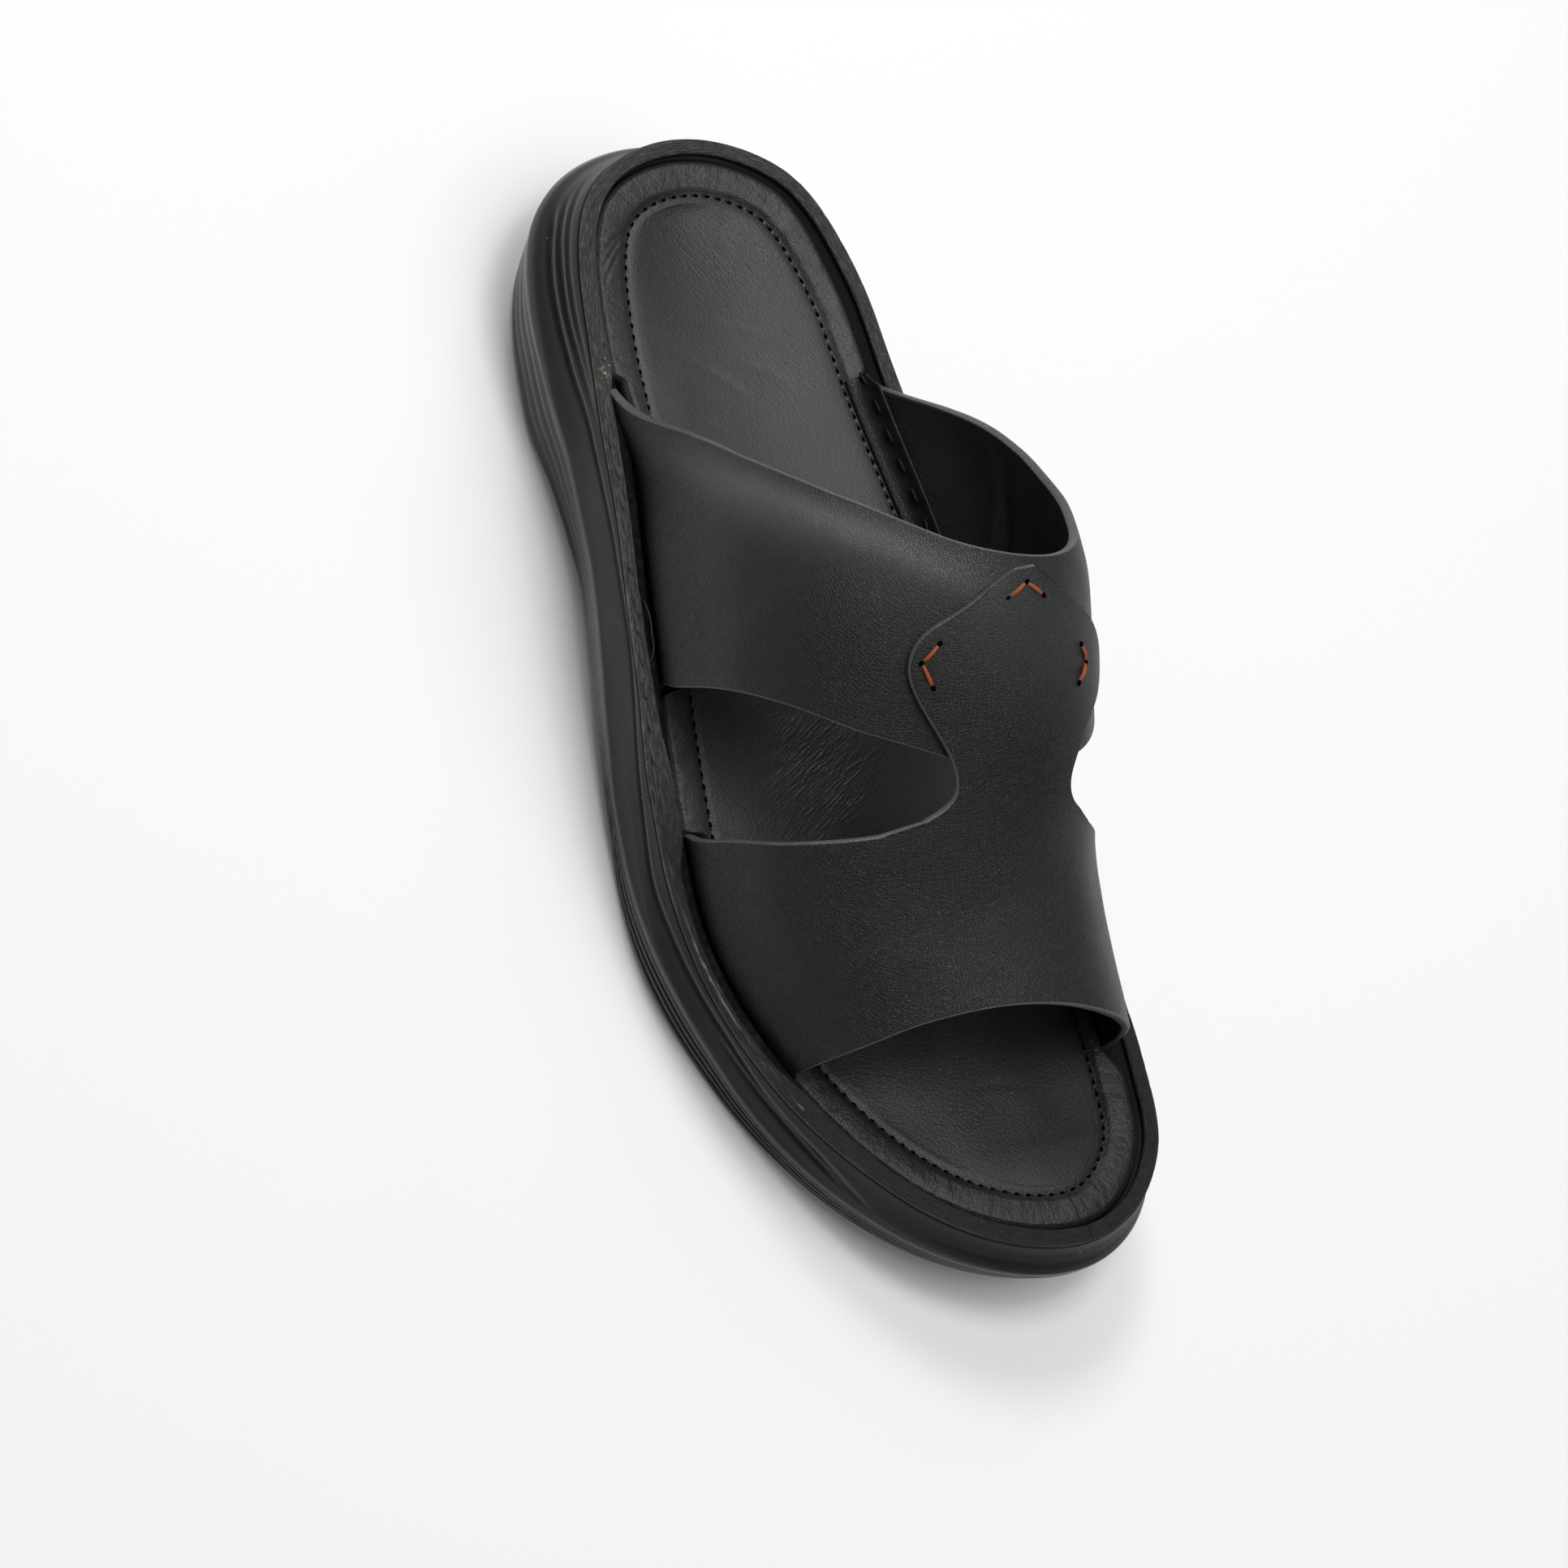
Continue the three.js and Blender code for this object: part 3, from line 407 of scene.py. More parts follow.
def ladder(ring, columns, swell, start, first_new):
    """Rungs that close a ring from one side to the other: new points and faces. The ring's points have
    the indices from start, and the new ones from first_new."""
    half = len(ring) // 2
    points, faces, rows = [], [], [[start]]
    for k in range(1, half):
        row = [start + k]
        for share in np.arange(1, columns) / columns:
            row.append(first_new + len(points))
            points.append(swell(mix(ring[k], ring[-k], share), share, k))
        rows.append([*row, start + len(ring) - k])
    rows.append([start + half])
    for a, b in zip(rows[:-1], rows[1:]):
        for c in range(columns):
            if len(a) == 1:
                faces.append([a[0], b[c], b[c + 1]])
            elif len(b) == 1:
                faces.append([a[c], b[0], a[c + 1]])
            else:
                faces.append([a[c], b[c], b[c + 1], a[c + 1]])
    return points, faces


def make_piece(name, points, faces, materials, zones=None):
    """A mesh object at the origin from points in mm, with its normals outwards."""
    mesh = bpy.data.meshes.new(name)
    mesh.from_pydata(((np.asarray(points) + ORIGIN) * MM).tolist(), [], faces)
    for material in materials:
        mesh.materials.append(material)
    if zones is not None:
        mesh.polygons.foreach_set("material_index", np.asarray(zones, np.int32))
    mesh.polygons.foreach_set("use_smooth", np.ones(len(mesh.polygons), bool))
    shape = bmesh.new()
    shape.from_mesh(mesh)
    bmesh.ops.recalc_face_normals(shape, faces=shape.faces)
    shape.to_mesh(mesh)
    shape.free()
    mesh.update()
    return put_in_scene(name, mesh)


def own_mark(mesh, name, values):
    """A number or a vector of its own for each point, which a node tree reads by this name."""
    values = np.asarray(values, np.float32)
    kind, key = ("FLOAT", "value") if values.ndim == 1 else ("FLOAT_VECTOR", "vector")
    mesh.attributes.new(name, kind, "POINT").data.foreach_set(key, values.ravel())


def made(tree, kind, out, *ordered, **named):
    """An output of a new node. Names in small letters are its settings. Other names, and what comes
    without a name, are its inputs."""
    node = tree.nodes.new(kind)
    node.location = (200 * len(tree.nodes), 0)
    inputs = dict(enumerate(ordered))
    for key, value in named.items():
        if key.islower():
            setattr(node, key, value)
        else:
            inputs[key.replace("_", " ")] = value
    feed(node, inputs)
    return node.outputs[out]


def reckon(tree, operation, *values):
    return made(tree, "ShaderNodeMath", 0, *values, operation=operation)


def noise(tree, where, scale, detail, roughness=0.5):
    return made(tree, "ShaderNodeTexNoise", 0, Vector=where, Scale=scale, Detail=detail, Roughness=roughness)


def range_of(tree, value, low, high, to_low=0.0, to_high=1.0):
    return made(tree, "ShaderNodeMapRange", 0, value, low, high, to_low, to_high)


def object_place(tree):
    return made(tree, "ShaderNodeTexCoord", "Object")


def mark_of(tree, name, out="Fac"):
    return made(tree, "ShaderNodeAttribute", out, attribute_name=name)


def blend(tree, factor, first, second):
    """A mix of two colours, each a socket or three numbers."""
    node = tree.nodes.new("ShaderNodeMix")
    node.location = (200 * len(tree.nodes), 0)
    node.data_type = "RGBA"
    feed(node, {0: factor, 6: first, 7: second})
    return node.outputs[2]


def tint(shader, mark, color):
    """Blends a colour into a shader's base colour, where a mark is on."""
    under = shader.inputs["Base Color"].links[0].from_socket
    feed(shader, {"Base Color": blend(shader.id_data, mark, under, color)})


def add_bump(shader, height, strength, distance):
    """A bump on a shader, in front of those that it has."""
    links = shader.inputs["Normal"].links
    behind = {"Normal": links[0].from_socket} if links else {}
    feed(shader, {"Normal": made(shader.id_data, "ShaderNodeBump", 0, Strength=strength, Distance=distance,
                                 Height=height, **behind)})


def group_of(name, inputs, output):
    """An empty shader node group, the sockets of its inputs by name and the socket of its output."""
    tree = bpy.data.node_groups.new(name, "ShaderNodeTree")
    for label, value in inputs.items():
        kind = "NodeSocketFloat" if isinstance(value, float) else "NodeSocketVector"
        tree.interface.new_socket(label, in_out="INPUT", socket_type=kind).default_value = value
    tree.interface.new_socket(output, in_out="OUTPUT", socket_type="NodeSocketFloat")
    return tree, tree.nodes.new("NodeGroupInput").outputs, tree.nodes.new("NodeGroupOutput").inputs[0]


# Fine dust lies on all dark parts in patches, as scattered pale specks
dust, given, mask = group_of("dust", {"Vector": (0, 0, 0), "Size": 260.0, "Amount": 0.05}, "Mask")
to_speck = made(dust, "ShaderNodeTexVoronoi", 0, Vector=given["Vector"], Scale=given["Size"])
on_speck = reckon(dust, "LESS_THAN", to_speck, given["Amount"])
in_patch = reckon(dust, "GREATER_THAN", noise(dust, given["Vector"], 38.0, 2.0), DUST_PATCH)
dust.links.new(reckon(dust, "MULTIPLY", on_speck, in_patch), mask)

rubber, rubber_shader = material_of("moulded_polyurethane", RUBBER_PALE, 0.5, RUBBER_SPECULAR)
tree = rubber.node_tree
where = object_place(tree)
mottle = noise(tree, where, 30.0, 4.0)
rubber_dust = made(tree, "ShaderNodeGroup", 0, where, node_tree=dust, Size=420.0, Amount=0.085)
feed(rubber_shader, {
    "Base Color": blend(tree, rubber_dust, blend(tree, mottle, RUBBER_DARK, RUBBER_PALE), RUBBER_SPECK),
    "Roughness": range_of(tree, mottle, 0.3, 0.7, *RUBBER_ROUGHNESS),
    "Coat Weight": range_of(tree, mark_of(tree, "polish"), 0.0, 1.0, 0.0, POLISH_GLOSS),
    "Coat Roughness": POLISH_ROUGHNESS,
})
add_bump(rubber_shader, noise(tree, where, 2200.0, 3.0), 0.25, 0.00008)

wall_ups = np.linspace(0, 1, WALL_STEPS)
every_along = along_of(every_turn)
rings = [wall_point(every_turn, up) for up in wall_ups]
rings.append(plan_point(every_turn, FOOTBED_GAP, wall_top(every_along)))
rings.append(plan_point(every_turn, FOOTBED_GAP, rim_top(every_along) - TRAY_DEPTH))


def tread(point, share, k):
    """Shallow wavy grooves across the flat of the underside, clear of its border."""
    along = along_of(every_turn[k])
    from_side = min(share, 1 - share) * np.linalg.norm(rings[0][k] - rings[0][-k])
    on_flat = sum(ease(start, start + TREAD_FADE, along) * ease(end, end - TREAD_FADE, along)
                  for start, end in TREAD_FLATS)
    inside = ease(TREAD_BORDER, TREAD_BORDER + 2, from_side) * on_flat
    bend = TREAD_BEND * math.cos(2 * math.pi * point[0] / TREAD_WAVE)
    groove = math.cos(2 * math.pi * (point[1] + bend) / TREAD_PITCH)
    return point + [0, 0, TREAD_DEPTH * inside * ease(0.35, 0.75, groove)]


def level(point, share, k):
    return point


sole_count = len(rings) * RING_STEPS
tread_points, tread_faces = ladder(rings[0], TREAD_COLUMNS, tread, 0, sole_count)
tray_points, tray_faces = ladder(rings[-1], 2, level, sole_count - RING_STEPS, sole_count + len(tread_points))
outsole = make_piece("outsole_moulded", np.concatenate([*rings, tread_points, tray_points]),
                     ring_faces(len(rings), RING_STEPS) + tread_faces + tray_faces, [rubber])
# The mould's polish: bright below the lip and on the ridges, matt on the flat over the lip
polish = np.full(len(outsole.data.vertices), 0.4)
ends = 0.15 * (ease(0.24, 0.12, every_along) + ease(0.84, 0.92, every_along))
for row, up in enumerate(wall_ups):
    over_lip = up - lip(every_along)
    ridge = np.exp(-((over_lip - 0.02) / 0.025) ** 2)
    flutes = flute_cuts(every_along, up * wall_height(every_along) - FLUTE_RIDGE)
    amount = 0.06 + ends + 0.95 * ease(0.05, -0.03, over_lip) + 0.6 * ridge + 1.1 * flutes
    polish[row * RING_STEPS:(row + 1) * RING_STEPS] = np.clip(amount, 0, 1)
own_mark(outsole.data, "polish", polish)
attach(outsole, "root")
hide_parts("outsole")


# Stitching. Every seam is a row of waxed thread stitches, laid along a line by one Geometry Nodes tree
# and then turned into a plain mesh. Needle holes are laid the same way, as flat dots of painted shade.
THREAD_SPECULAR = 0.15
STITCH_INPUTS = {"Geometry": "Geometry", "Pitch": "Float", "Length": "Float", "Width": "Float",
                 "Height": "Float", "Jitter": "Float", "Seed": "Int", "Material": "Material"}
stitches = bpy.data.node_groups.new("stitches", "GeometryNodeTree")
for label, kind in STITCH_INPUTS.items():
    stitches.interface.new_socket(label, in_out="INPUT", socket_type="NodeSocket" + kind)
stitches.interface.new_socket("Geometry", in_out="OUTPUT", socket_type="NodeSocketGeometry")
given = stitches.nodes.new("NodeGroupInput").outputs
line = made(stitches, "GeometryNodeMeshToCurve", 0, given["Geometry"])
stops = made(stitches, "GeometryNodeResampleCurve", 0, mode="LENGTH", Curve=line, Length=given["Pitch"])
facing = made(stitches, "GeometryNodeInputNamedAttribute", 0, data_type="FLOAT_VECTOR", Name="facing")
upright = made(stitches, "FunctionNodeAlignRotationToVector", 0, axis="Z", Vector=facing)
tangent = made(stitches, "GeometryNodeInputTangent", 0)
lined = made(stitches, "FunctionNodeAlignRotationToVector", 0, axis="X", pivot_axis="Z", Rotation=upright,
             Vector=tangent)
least = reckon(stitches, "MULTIPLY", given["Jitter"], -1.0)
spin = made(stitches, "FunctionNodeRandomValue", 0, data_type="FLOAT_VECTOR", Min=least, Max=given["Jitter"],
            Seed=given["Seed"])
spun = made(stitches, "FunctionNodeEulerToRotation", 0, spin)
posed = made(stitches, "FunctionNodeRotateRotation", 0, rotation_space="LOCAL", Rotation=lined,
             Rotate_By=spun)
bead = made(stitches, "GeometryNodeMeshUVSphere", 0, Segments=8, Rings=6, Radius=0.5)
bead = made(stitches, "GeometryNodeSetShadeSmooth", 0, bead)
size = made(stitches, "ShaderNodeCombineXYZ", 0, given["Length"], given["Width"], given["Height"])
laid = made(stitches, "GeometryNodeInstanceOnPoints", 0, Points=stops, Instance=bead, Rotation=posed,
            Scale=size)
real = made(stitches, "GeometryNodeRealizeInstances", 0, laid)
sewn = made(stitches, "GeometryNodeSetMaterial", 0, Geometry=real, Material=given["Material"])
stitches.links.new(sewn, stitches.nodes.new("NodeGroupOutput").inputs["Geometry"])


def stitch_row(name, line, facing, closed, sizes, jitter, seed, material):
    """Stitches along a line of points in mm, on a surface that faces the given ways. Their sizes in mm
    are pitch, length, width and height."""
    count = len(line)
    edges = [(k, (k + 1) % count) for k in range(count if closed else count - 1)]
    mesh = bpy.data.meshes.new(name)
    mesh.from_pydata(((line + ORIGIN) * MM).tolist(), edges, [])
    own_mark(mesh, "facing", np.broadcast_to(facing, (count, 3)))
    piece = put_in_scene(name, mesh)
    modifier = piece.modifiers.new("stitches", "NODES")
    modifier.node_group = stitches
    values = dict(zip(("Pitch", "Length", "Width", "Height"), [float(size * MM) for size in sizes]))
    values.update({"Jitter": jitter, "Seed": seed, "Material": material})
    for item in stitches.interface.items_tree:
        if item.in_out == "INPUT" and item.name in values:
            modifier[item.identifier] = values[item.name]
    plain = bpy.data.meshes.new_from_object(piece.evaluated_get(bpy.context.evaluated_depsgraph_get()))
    plain.name = name
    piece.modifiers.clear()
    piece.data = plain
    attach(piece, "root")


def thread_material(name, color, roughness):
    """Waxed thread: uneven colour and a twisted, fibrous surface."""
    material, shader = material_of(name, color, roughness, THREAD_SPECULAR)
    tree = material.node_tree
    fibre = noise(tree, object_place(tree), 2600.0, 3.0)
    feed(shader, {"Base Color": blend(tree, fibre, [0.55 * c for c in color], color)})
    add_bump(shader, fibre, 0.6, 0.0001)
    return material


black_thread = thread_material("waxed_black_thread", (0.010, 0.010, 0.011), 0.5)
grey_thread = thread_material("waxed_grey_thread", (0.055, 0.055, 0.057), 0.42)
orange_thread = thread_material("waxed_orange_thread", (0.46, 0.115, 0.045), 0.55)
# Needle holes: near-black dots, painted shade of the holes
hole_painted_shade = material_of("needle_hole_painted_shade", (0.002, 0.002, 0.002), 0.9, 0.0)[0]


def value_noise(x, y, seed, wrap=64):
    """Smooth random values from -1 to 1 on a grid of unit cells that repeats after wrap cells in x."""
    table = np.random.default_rng(seed).random((wrap, 64)) * 2 - 1
    i, j = np.floor(x).astype(int), np.floor(y).astype(int)
    u, v = x - i, y - j
    u, v = u * u * (3 - 2 * u), v * v * (3 - 2 * v)
    low = mix(table[i % wrap, j % 64], table[(i + 1) % wrap, j % 64], u)
    high = mix(table[i % wrap, (j + 1) % 64], table[(i + 1) % wrap, (j + 1) % 64], u)
    return mix(low, high, v)


# Welt. A buffed leather strip cemented on the wall's top, with its edge shaved, fine lines along it
# and a sewn stretch of dash stitches on the outer side beside the rear strap.
STRIP_STEPS = 26
STRIP_LINES = 11.0
STRIP_LINE_DEPTH = 0.13
STRIP_TEAR_DEPTH = 0.22
STRIP_CROWN = 0.25
STRIP_SHOULDER = 0.45
DASH_FROM, DASH_TO = 0.215, 0.515
DASH_PITCH = 7.6
DASH_LENGTH = 5.6
DASH_PLACE = 0.82
DASH_GROOVE = 0.35
# The near-black inner band beside the straps, partly leather left unbuffed and partly painted shade of the
# straps: along, share of the width it covers
UNBUFFED_AND_SHADE_ROWS = [
    (0.18, 0), (0.21, 0.42), (0.3, 0.48), (0.42, 0.44), (0.5, 0.25), (0.54, 0), (0.58, 0),
    (0.62, 0.44), (0.7, 0.52), (0.78, 0.46), (0.83, 0),
]
UNBUFFED_STEP = 0.28
# A crack across the strip: along and share at its ends, depth
CRACK = (0.5395, 0.846, 0.5718, 0.18, 0.4)
# A wavy streak of cement on the outer forefoot: along, share of the width at its middle
CEMENT_ROWS = [(0.60, 0.99), (0.665, 0.87), (0.723, 0.75), (0.77, 0.68), (0.83, 0.72)]
CEMENT_HALF_WIDTH = 0.10
SMOOTH_FRONT = 0.8
# Colours of the inner band: unbuffed leather, darkened as painted shade of the straps
UNBUFFED_AND_SHADE_DARK = (0.0040, 0.0040, 0.0050)
UNBUFFED_AND_SHADE_PALE = (0.0120, 0.0118, 0.0125)
LEATHER_SPECK = (0.13, 0.13, 0.13)


def strip_point(turn, share, drop):
    """A point of the strip: share runs from its inner edge to its outer edge, drop is below the rim."""
    along = along_of(turn)
    outset = mix(FOOTBED_GAP, FOOTBED_GAP + WELT_WIDTH + rim_spread(turn), share)
    return plan_point(turn, outset, rim_top(along) - drop)


unbuffed_and_shade = curve_through(UNBUFFED_AND_SHADE_ROWS)


def unbuffed_and_shade_at(turn, share):
    """1 on the black inner band beside the straps, else 0: partly leather left unbuffed, partly painted shade
    of the straps.
    """
    along = along_of(turn)
    on_side = (turn < 0) & (along > UNBUFFED_AND_SHADE_ROWS[0][0]) & (along < UNBUFFED_AND_SHADE_ROWS[-1][0])
    return np.where(on_side, ease(0.03, -0.03, share - unbuffed_and_shade(along)), 0.0)


def strip_drop(turn, share):
    """How far the strip's worked top lies under the rim."""
    crown = STRIP_CROWN * (2 * share - 1) ** 2
    shoulder = STRIP_SHOULDER * (ease(0.9, 1.0, share) + ease(0.1, 0.0, share) * 0.7)
    around = (turn + math.pi) / (2 * math.pi)
    lines = value_noise(around * 60, share * STRIP_LINES, 3, wrap=60)
    tears = value_noise(around * 420, share * 3.0, 4, wrap=420)
    along = along_of(turn)
    from_along, from_share, to_along, to_share, deep = CRACK
    on_line = mix(from_share, to_share, np.clip((along - from_along) / (to_along - from_along), 0, 1))
    inside = (turn < 0) & (along > from_along) & (along < to_along)
    crack = np.where(inside, deep * np.exp(-((share - on_line) / 0.07) ** 2), 0.0)
    step = UNBUFFED_STEP * unbuffed_and_shade_at(turn, share)
    worn = STRIP_LINE_DEPTH * lines + STRIP_TEAR_DEPTH * np.maximum(tears - 0.35, 0)
    sewn = (turn < 0) * ease(DASH_FROM, DASH_FROM + 0.02, along) * ease(DASH_TO, DASH_TO - 0.02, along)
    worn = worn + DASH_GROOVE * sewn * np.exp(-((share - DASH_PLACE + 0.13) / 0.06) ** 2)
    return crown + shoulder + worn * (1 - unbuffed_and_shade_at(turn, share)) + crack + step


leather_grain, given, height = group_of("leather_grain", {"Vector": (0, 0, 0), "Size": 1500.0}, "Height")
to_edge = made(leather_grain, "ShaderNodeTexVoronoi", 0, feature="DISTANCE_TO_EDGE", Vector=given["Vector"],
               Scale=given["Size"])
pebbles = noise(leather_grain, given["Vector"], 900.0, 4.0)
cells = range_of(leather_grain, to_edge, 0.0, 0.18)
leather_grain.links.new(reckon(leather_grain, "MULTIPLY_ADD", cells, 0.6, pebbles), height)

# Streaks run along a piece's own lines: the welt's shaved fibres, and the folds of a turned edge
streaks, given, height = group_of("streaks", {"Vector": (0, 0, 0), "Stretch": (0.12, 2.4, 1.0)}, "Height")
stretched = made(streaks, "ShaderNodeVectorMath", 0, given["Vector"], given["Stretch"], operation="MULTIPLY")
streaks.links.new(noise(streaks, stretched, 1.0, 4.0, 0.65), height)


def leather_material(name, dark, pale, roughness, cell_size, grain, dust_size, dust_amount, specular):
    """Dyed leather: uneven tone, fine grain, dust and a gloss that varies from place to place."""
    material, shader = material_of(name, pale, roughness[1], specular)
    tree = material.node_tree
    where = object_place(tree)
    mottle = noise(tree, where, 26.0, 5.0, 0.6)
    pores = range_of(tree, noise(tree, where, 1400.0, 2.0), 0.35, 0.65)
    broad = reckon(tree, "MULTIPLY", range_of(tree, mottle, 0.3, 0.7), 0.7)
    tone = blend(tree, reckon(tree, "MULTIPLY_ADD", pores, 0.3, broad), dark, pale)
    dusty = made(tree, "ShaderNodeGroup", 0, where, node_tree=dust, Size=dust_size, Amount=dust_amount)
    feed(shader, {
        "Base Color": blend(tree, dusty, tone, LEATHER_SPECK),
        "Roughness": range_of(tree, mottle, 0.3, 0.7, *roughness),
    })
    surface = made(tree, "ShaderNodeGroup", 0, where, node_tree=leather_grain, Size=cell_size)
    add_bump(shader, surface, grain, 0.00012)
    return material, shader


buffed, buffed_shader = leather_material(
    "buffed_leather", (0.018, 0.018, 0.018), (0.055, 0.054, 0.053), (0.6, 0.78), 900.0, 0.9, 330.0, 0.10,
    0.4)
tree = buffed.node_tree
tint(buffed_shader, mark_of(tree, "mark"), (0.010, 0.010, 0.011))
fibres = made(tree, "ShaderNodeGroup", 0, mark_of(tree, "around", "Vector"), node_tree=streaks,
              Stretch=(0.30, 2.6, 1.0))
add_bump(buffed_shader, fibres, 1.0, 0.0008)
tint(buffed_shader, range_of(tree, fibres, 0.46, 0.64, 0.0, 0.9), (0.120, 0.117, 0.112))
tint(buffed_shader, mark_of(tree, "mark"), (0.0120, 0.0120, 0.0128))
cement_mark = mark_of(tree, "cement")
tint(buffed_shader, cement_mark, (0.020, 0.020, 0.021))
feed(buffed_shader, {"Coat Weight": range_of(tree, cement_mark, 0.0, 1.0, 0.0, 0.3), "Coat Roughness": 0.12})
raw_leather, raw_shader = leather_material(
    "raw_leather_edge", (0.020, 0.013, 0.009), (0.060, 0.038, 0.026), (0.7, 0.9), 600.0, 1.0, 300.0, 0.10,
    0.2)
tint(raw_shader, mark_of(raw_leather.node_tree, "mark"), (0.02, 0.02, 0.02))
# Near-black leather of the inner band: partly unbuffed leather, partly painted shade of the straps
unbuffed_leather_and_shade, unbuffed_and_shade_shader = material_of("unbuffed_leather_and_shade", UNBUFFED_AND_SHADE_DARK, 0.75, 0.08)
tree = unbuffed_leather_and_shade.node_tree
blotches = range_of(tree, noise(tree, object_place(tree), 420.0, 3.0), 0.48, 0.72)
feed(unbuffed_and_shade_shader, {"Base Color": blend(tree, blotches, UNBUFFED_AND_SHADE_DARK, UNBUFFED_AND_SHADE_PALE)})

shares = np.linspace(0, 1, STRIP_STEPS)
strip_rings = [strip_point(every_turn, 0.0, WELT_THICKNESS)]
strip_rings += [strip_point(every_turn, share, strip_drop(every_turn, share)) for share in shares]
strip_rings += [strip_point(every_turn, 1.0, WELT_THICKNESS)]
strip_faces = ring_faces(len(strip_rings), RING_STEPS)
k = np.arange(RING_STEPS)
after = (k + 1) % RING_STEPS
last = (len(strip_rings) - 1) * RING_STEPS
strip_faces += np.stack([last + k, last + after, after, k], axis=1).tolist()
strip_zones = [1] * RING_STEPS
for share in (shares[:-1] + shares[1:]) / 2:
    strip_zones += np.where(unbuffed_and_shade_at(every_turn, share) > 0.5, 2, 0).tolist()
strip_zones += [0] * (len(strip_faces) - len(strip_zones))
welt = make_piece("welt_strip", np.concatenate(strip_rings), strip_faces,
                  [buffed, raw_leather, unbuffed_leather_and_shade], strip_zones)
rim_run = np.linalg.norm(np.roll(strip_rings[5], -1, axis=0) - strip_rings[5], axis=1).cumsum()
cement_share = curve_through(CEMENT_ROWS)
wavy = 0.05 * np.sin(rim_run / 2.3) + 0.03 * np.sin(rim_run / 0.9 + 1)
on_side = (every_turn < 0) & (every_along > CEMENT_ROWS[0][0]) & (every_along < CEMENT_ROWS[-1][0])
around, cement = [], []
for share in [0.0, *shares, 1.0]:
    around.append(np.stack([rim_run, 4.5 * share + 0 * rim_run, 0 * rim_run], axis=1))
    gap = (share - cement_share(every_along) - wavy) / CEMENT_HALF_WIDTH
    cement.append(np.where(on_side, np.exp(-gap ** 4), 0.0))
own_mark(welt.data, "mark", np.tile(SMOOTH_FRONT * ease(0.48, 0.62, every_along), len(strip_rings)))
own_mark(welt.data, "cement", np.concatenate(cement))
own_mark(welt.data, "around", np.concatenate(around))
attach(welt, "root")
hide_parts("welt")

dash_turns = -turn_at(np.linspace(DASH_FROM, DASH_TO, 120))
dash_line = strip_point(dash_turns, DASH_PLACE, strip_drop(dash_turns, DASH_PLACE) - 0.15)
stitch_row("welt_stitches", dash_line, (0, 0, 1), False, (DASH_PITCH, DASH_LENGTH, 0.95, 0.8), 0.16, 5,
           buffed)


# Footbed. A leather-covered foam insole: a puckered border dips to a stitch line, and inside it the
# cupped heel and the crowned ball stand padded and lightly creased. Its shape is moved in code.
FOOTBED_DROP = 2.5
EDGE_ROUND = 1.4
BORDER_WIDTH = 8.7
BORDER_DIP = 1.15
BORDER_PUFF = 0.40
HEEL_SLOPE = 0.6
CENTRE_RISE = 0.12
CHANNEL_DEPTH = 0.26
CHANNEL_HALF_WIDTH = 0.8
HEEL_CUP = 2.2
BALL_CROWN = 1.0
SWELL_FULL_WIDTH = 38.0
SWELL_POWER = 1.4
CENTRE_WAVE = 0.16
STITCH_PITCH = 3.0
# length, width and height in mm
SEAM_STITCH = (1.8, 0.5, 0.34)
SEAM_HOLE = (1.6, 0.95, 0.55)
PUCKER_DEPTH = 0.06
WRINKLE_DEPTH = 0.30
BED_STEPS = 1200
BED_COLUMNS = 58
STRAP_INSET = 3.7
STRAP_LATERAL_INSET = 5.4
STRAP_CORNER_INSET = 2.2
CORNER_FROM, CORNER_TO = 0.19, 0.30
NOTCH_CLEARANCE = 0.5
NOTCH_FADE = 7.5
# Folds across the border on the outer side: along at the outline, lean per mm inwards, depth, half width
BORDER_FOLDS = [
    (0.082, -0.006, 0.26, 0.0045), (0.097, -0.007, 0.36, 0.0038), (0.113, -0.0075, 0.3, 0.0036),
    (0.15, -0.001, 0.22, 0.0032), (0.164, 0.0015, 0.28, 0.003), (0.177, 0.0035, 0.32, 0.003),
]
# Where the footbed's edge stands back on the outer side, in mm along the foot: start, end, and how long
# it takes to go in and out. The straps hide most of it.
LATERAL_NOTCHES = [(0.188, 0.46, 2, 1.5), (0.585, 0.798, 1.5, 3)]
MEDIAL_NOTCHES = [(0.235, 0.489, 5, 3), (0.654, 0.853, 3, 9)]
# along, how far the footbed's edge has shrunk from the welt on the inner side
SHRINK_ROWS = [(0.03, 0), (0.07, 0.5), (0.12, 1.2), (0.18, 1.5), (0.24, 1.6), (0.3, 0.8), (0.36, 0)]
# Strap edges: across, back and front of the rear strap, back and front of the front strap
EDGE_ROWS = [
    (0, 0.188, 0.46, 0.585, 0.798), (0.05, 0.218, 0.467, 0.592, 0.801),
    (0.15, 0.268, 0.489, 0.61, 0.806), (0.25, 0.329, 0.528, 0.634, 0.809),
    (0.35, 0.397, 0.581, 0.653, 0.81), (0.45, 0.463, 0.625, 0.66, 0.816),
    (0.56, 0.489, 0.64, 0.669, 0.829), (0.66, 0.476, 0.629, 0.68, 0.842),
    (0.75, 0.419, 0.599, 0.686, 0.849), (0.85, 0.324, 0.551, 0.676, 0.853),
    (1, 0.235, 0.489, 0.654, 0.853),
]
# Creases of the centre: from along, across in mm, to along, across in mm, depth, half width
CREASES = [
    (0.175, -16, 0.235, 2, 0.22, 1.3), (0.19, -2, 0.225, 14, 0.18, 1.2), (0.15, -8, 0.175, 12, 0.15, 1.1),
    (0.23, -20, 0.262, -6, 0.16, 1.2), (0.53, -30, 0.56, -8, 0.22, 1.5),
    (0.56, -34, 0.548, -14, 0.18, 1.2), (0.495, -26, 0.52, -10, 0.16, 1.2), (0.86, -6, 0.875, 14, 0.1, 1.2),
]
# Paler tone of the heel and the window: wear on the heel together with painted light, and a painted pool of
# light on the window
WORN_AND_PAINTED_LIGHT_TONE = (0.040, 0.040, 0.0415)
CREASE_STRETCH = (160.0, 1000.0, 160.0)
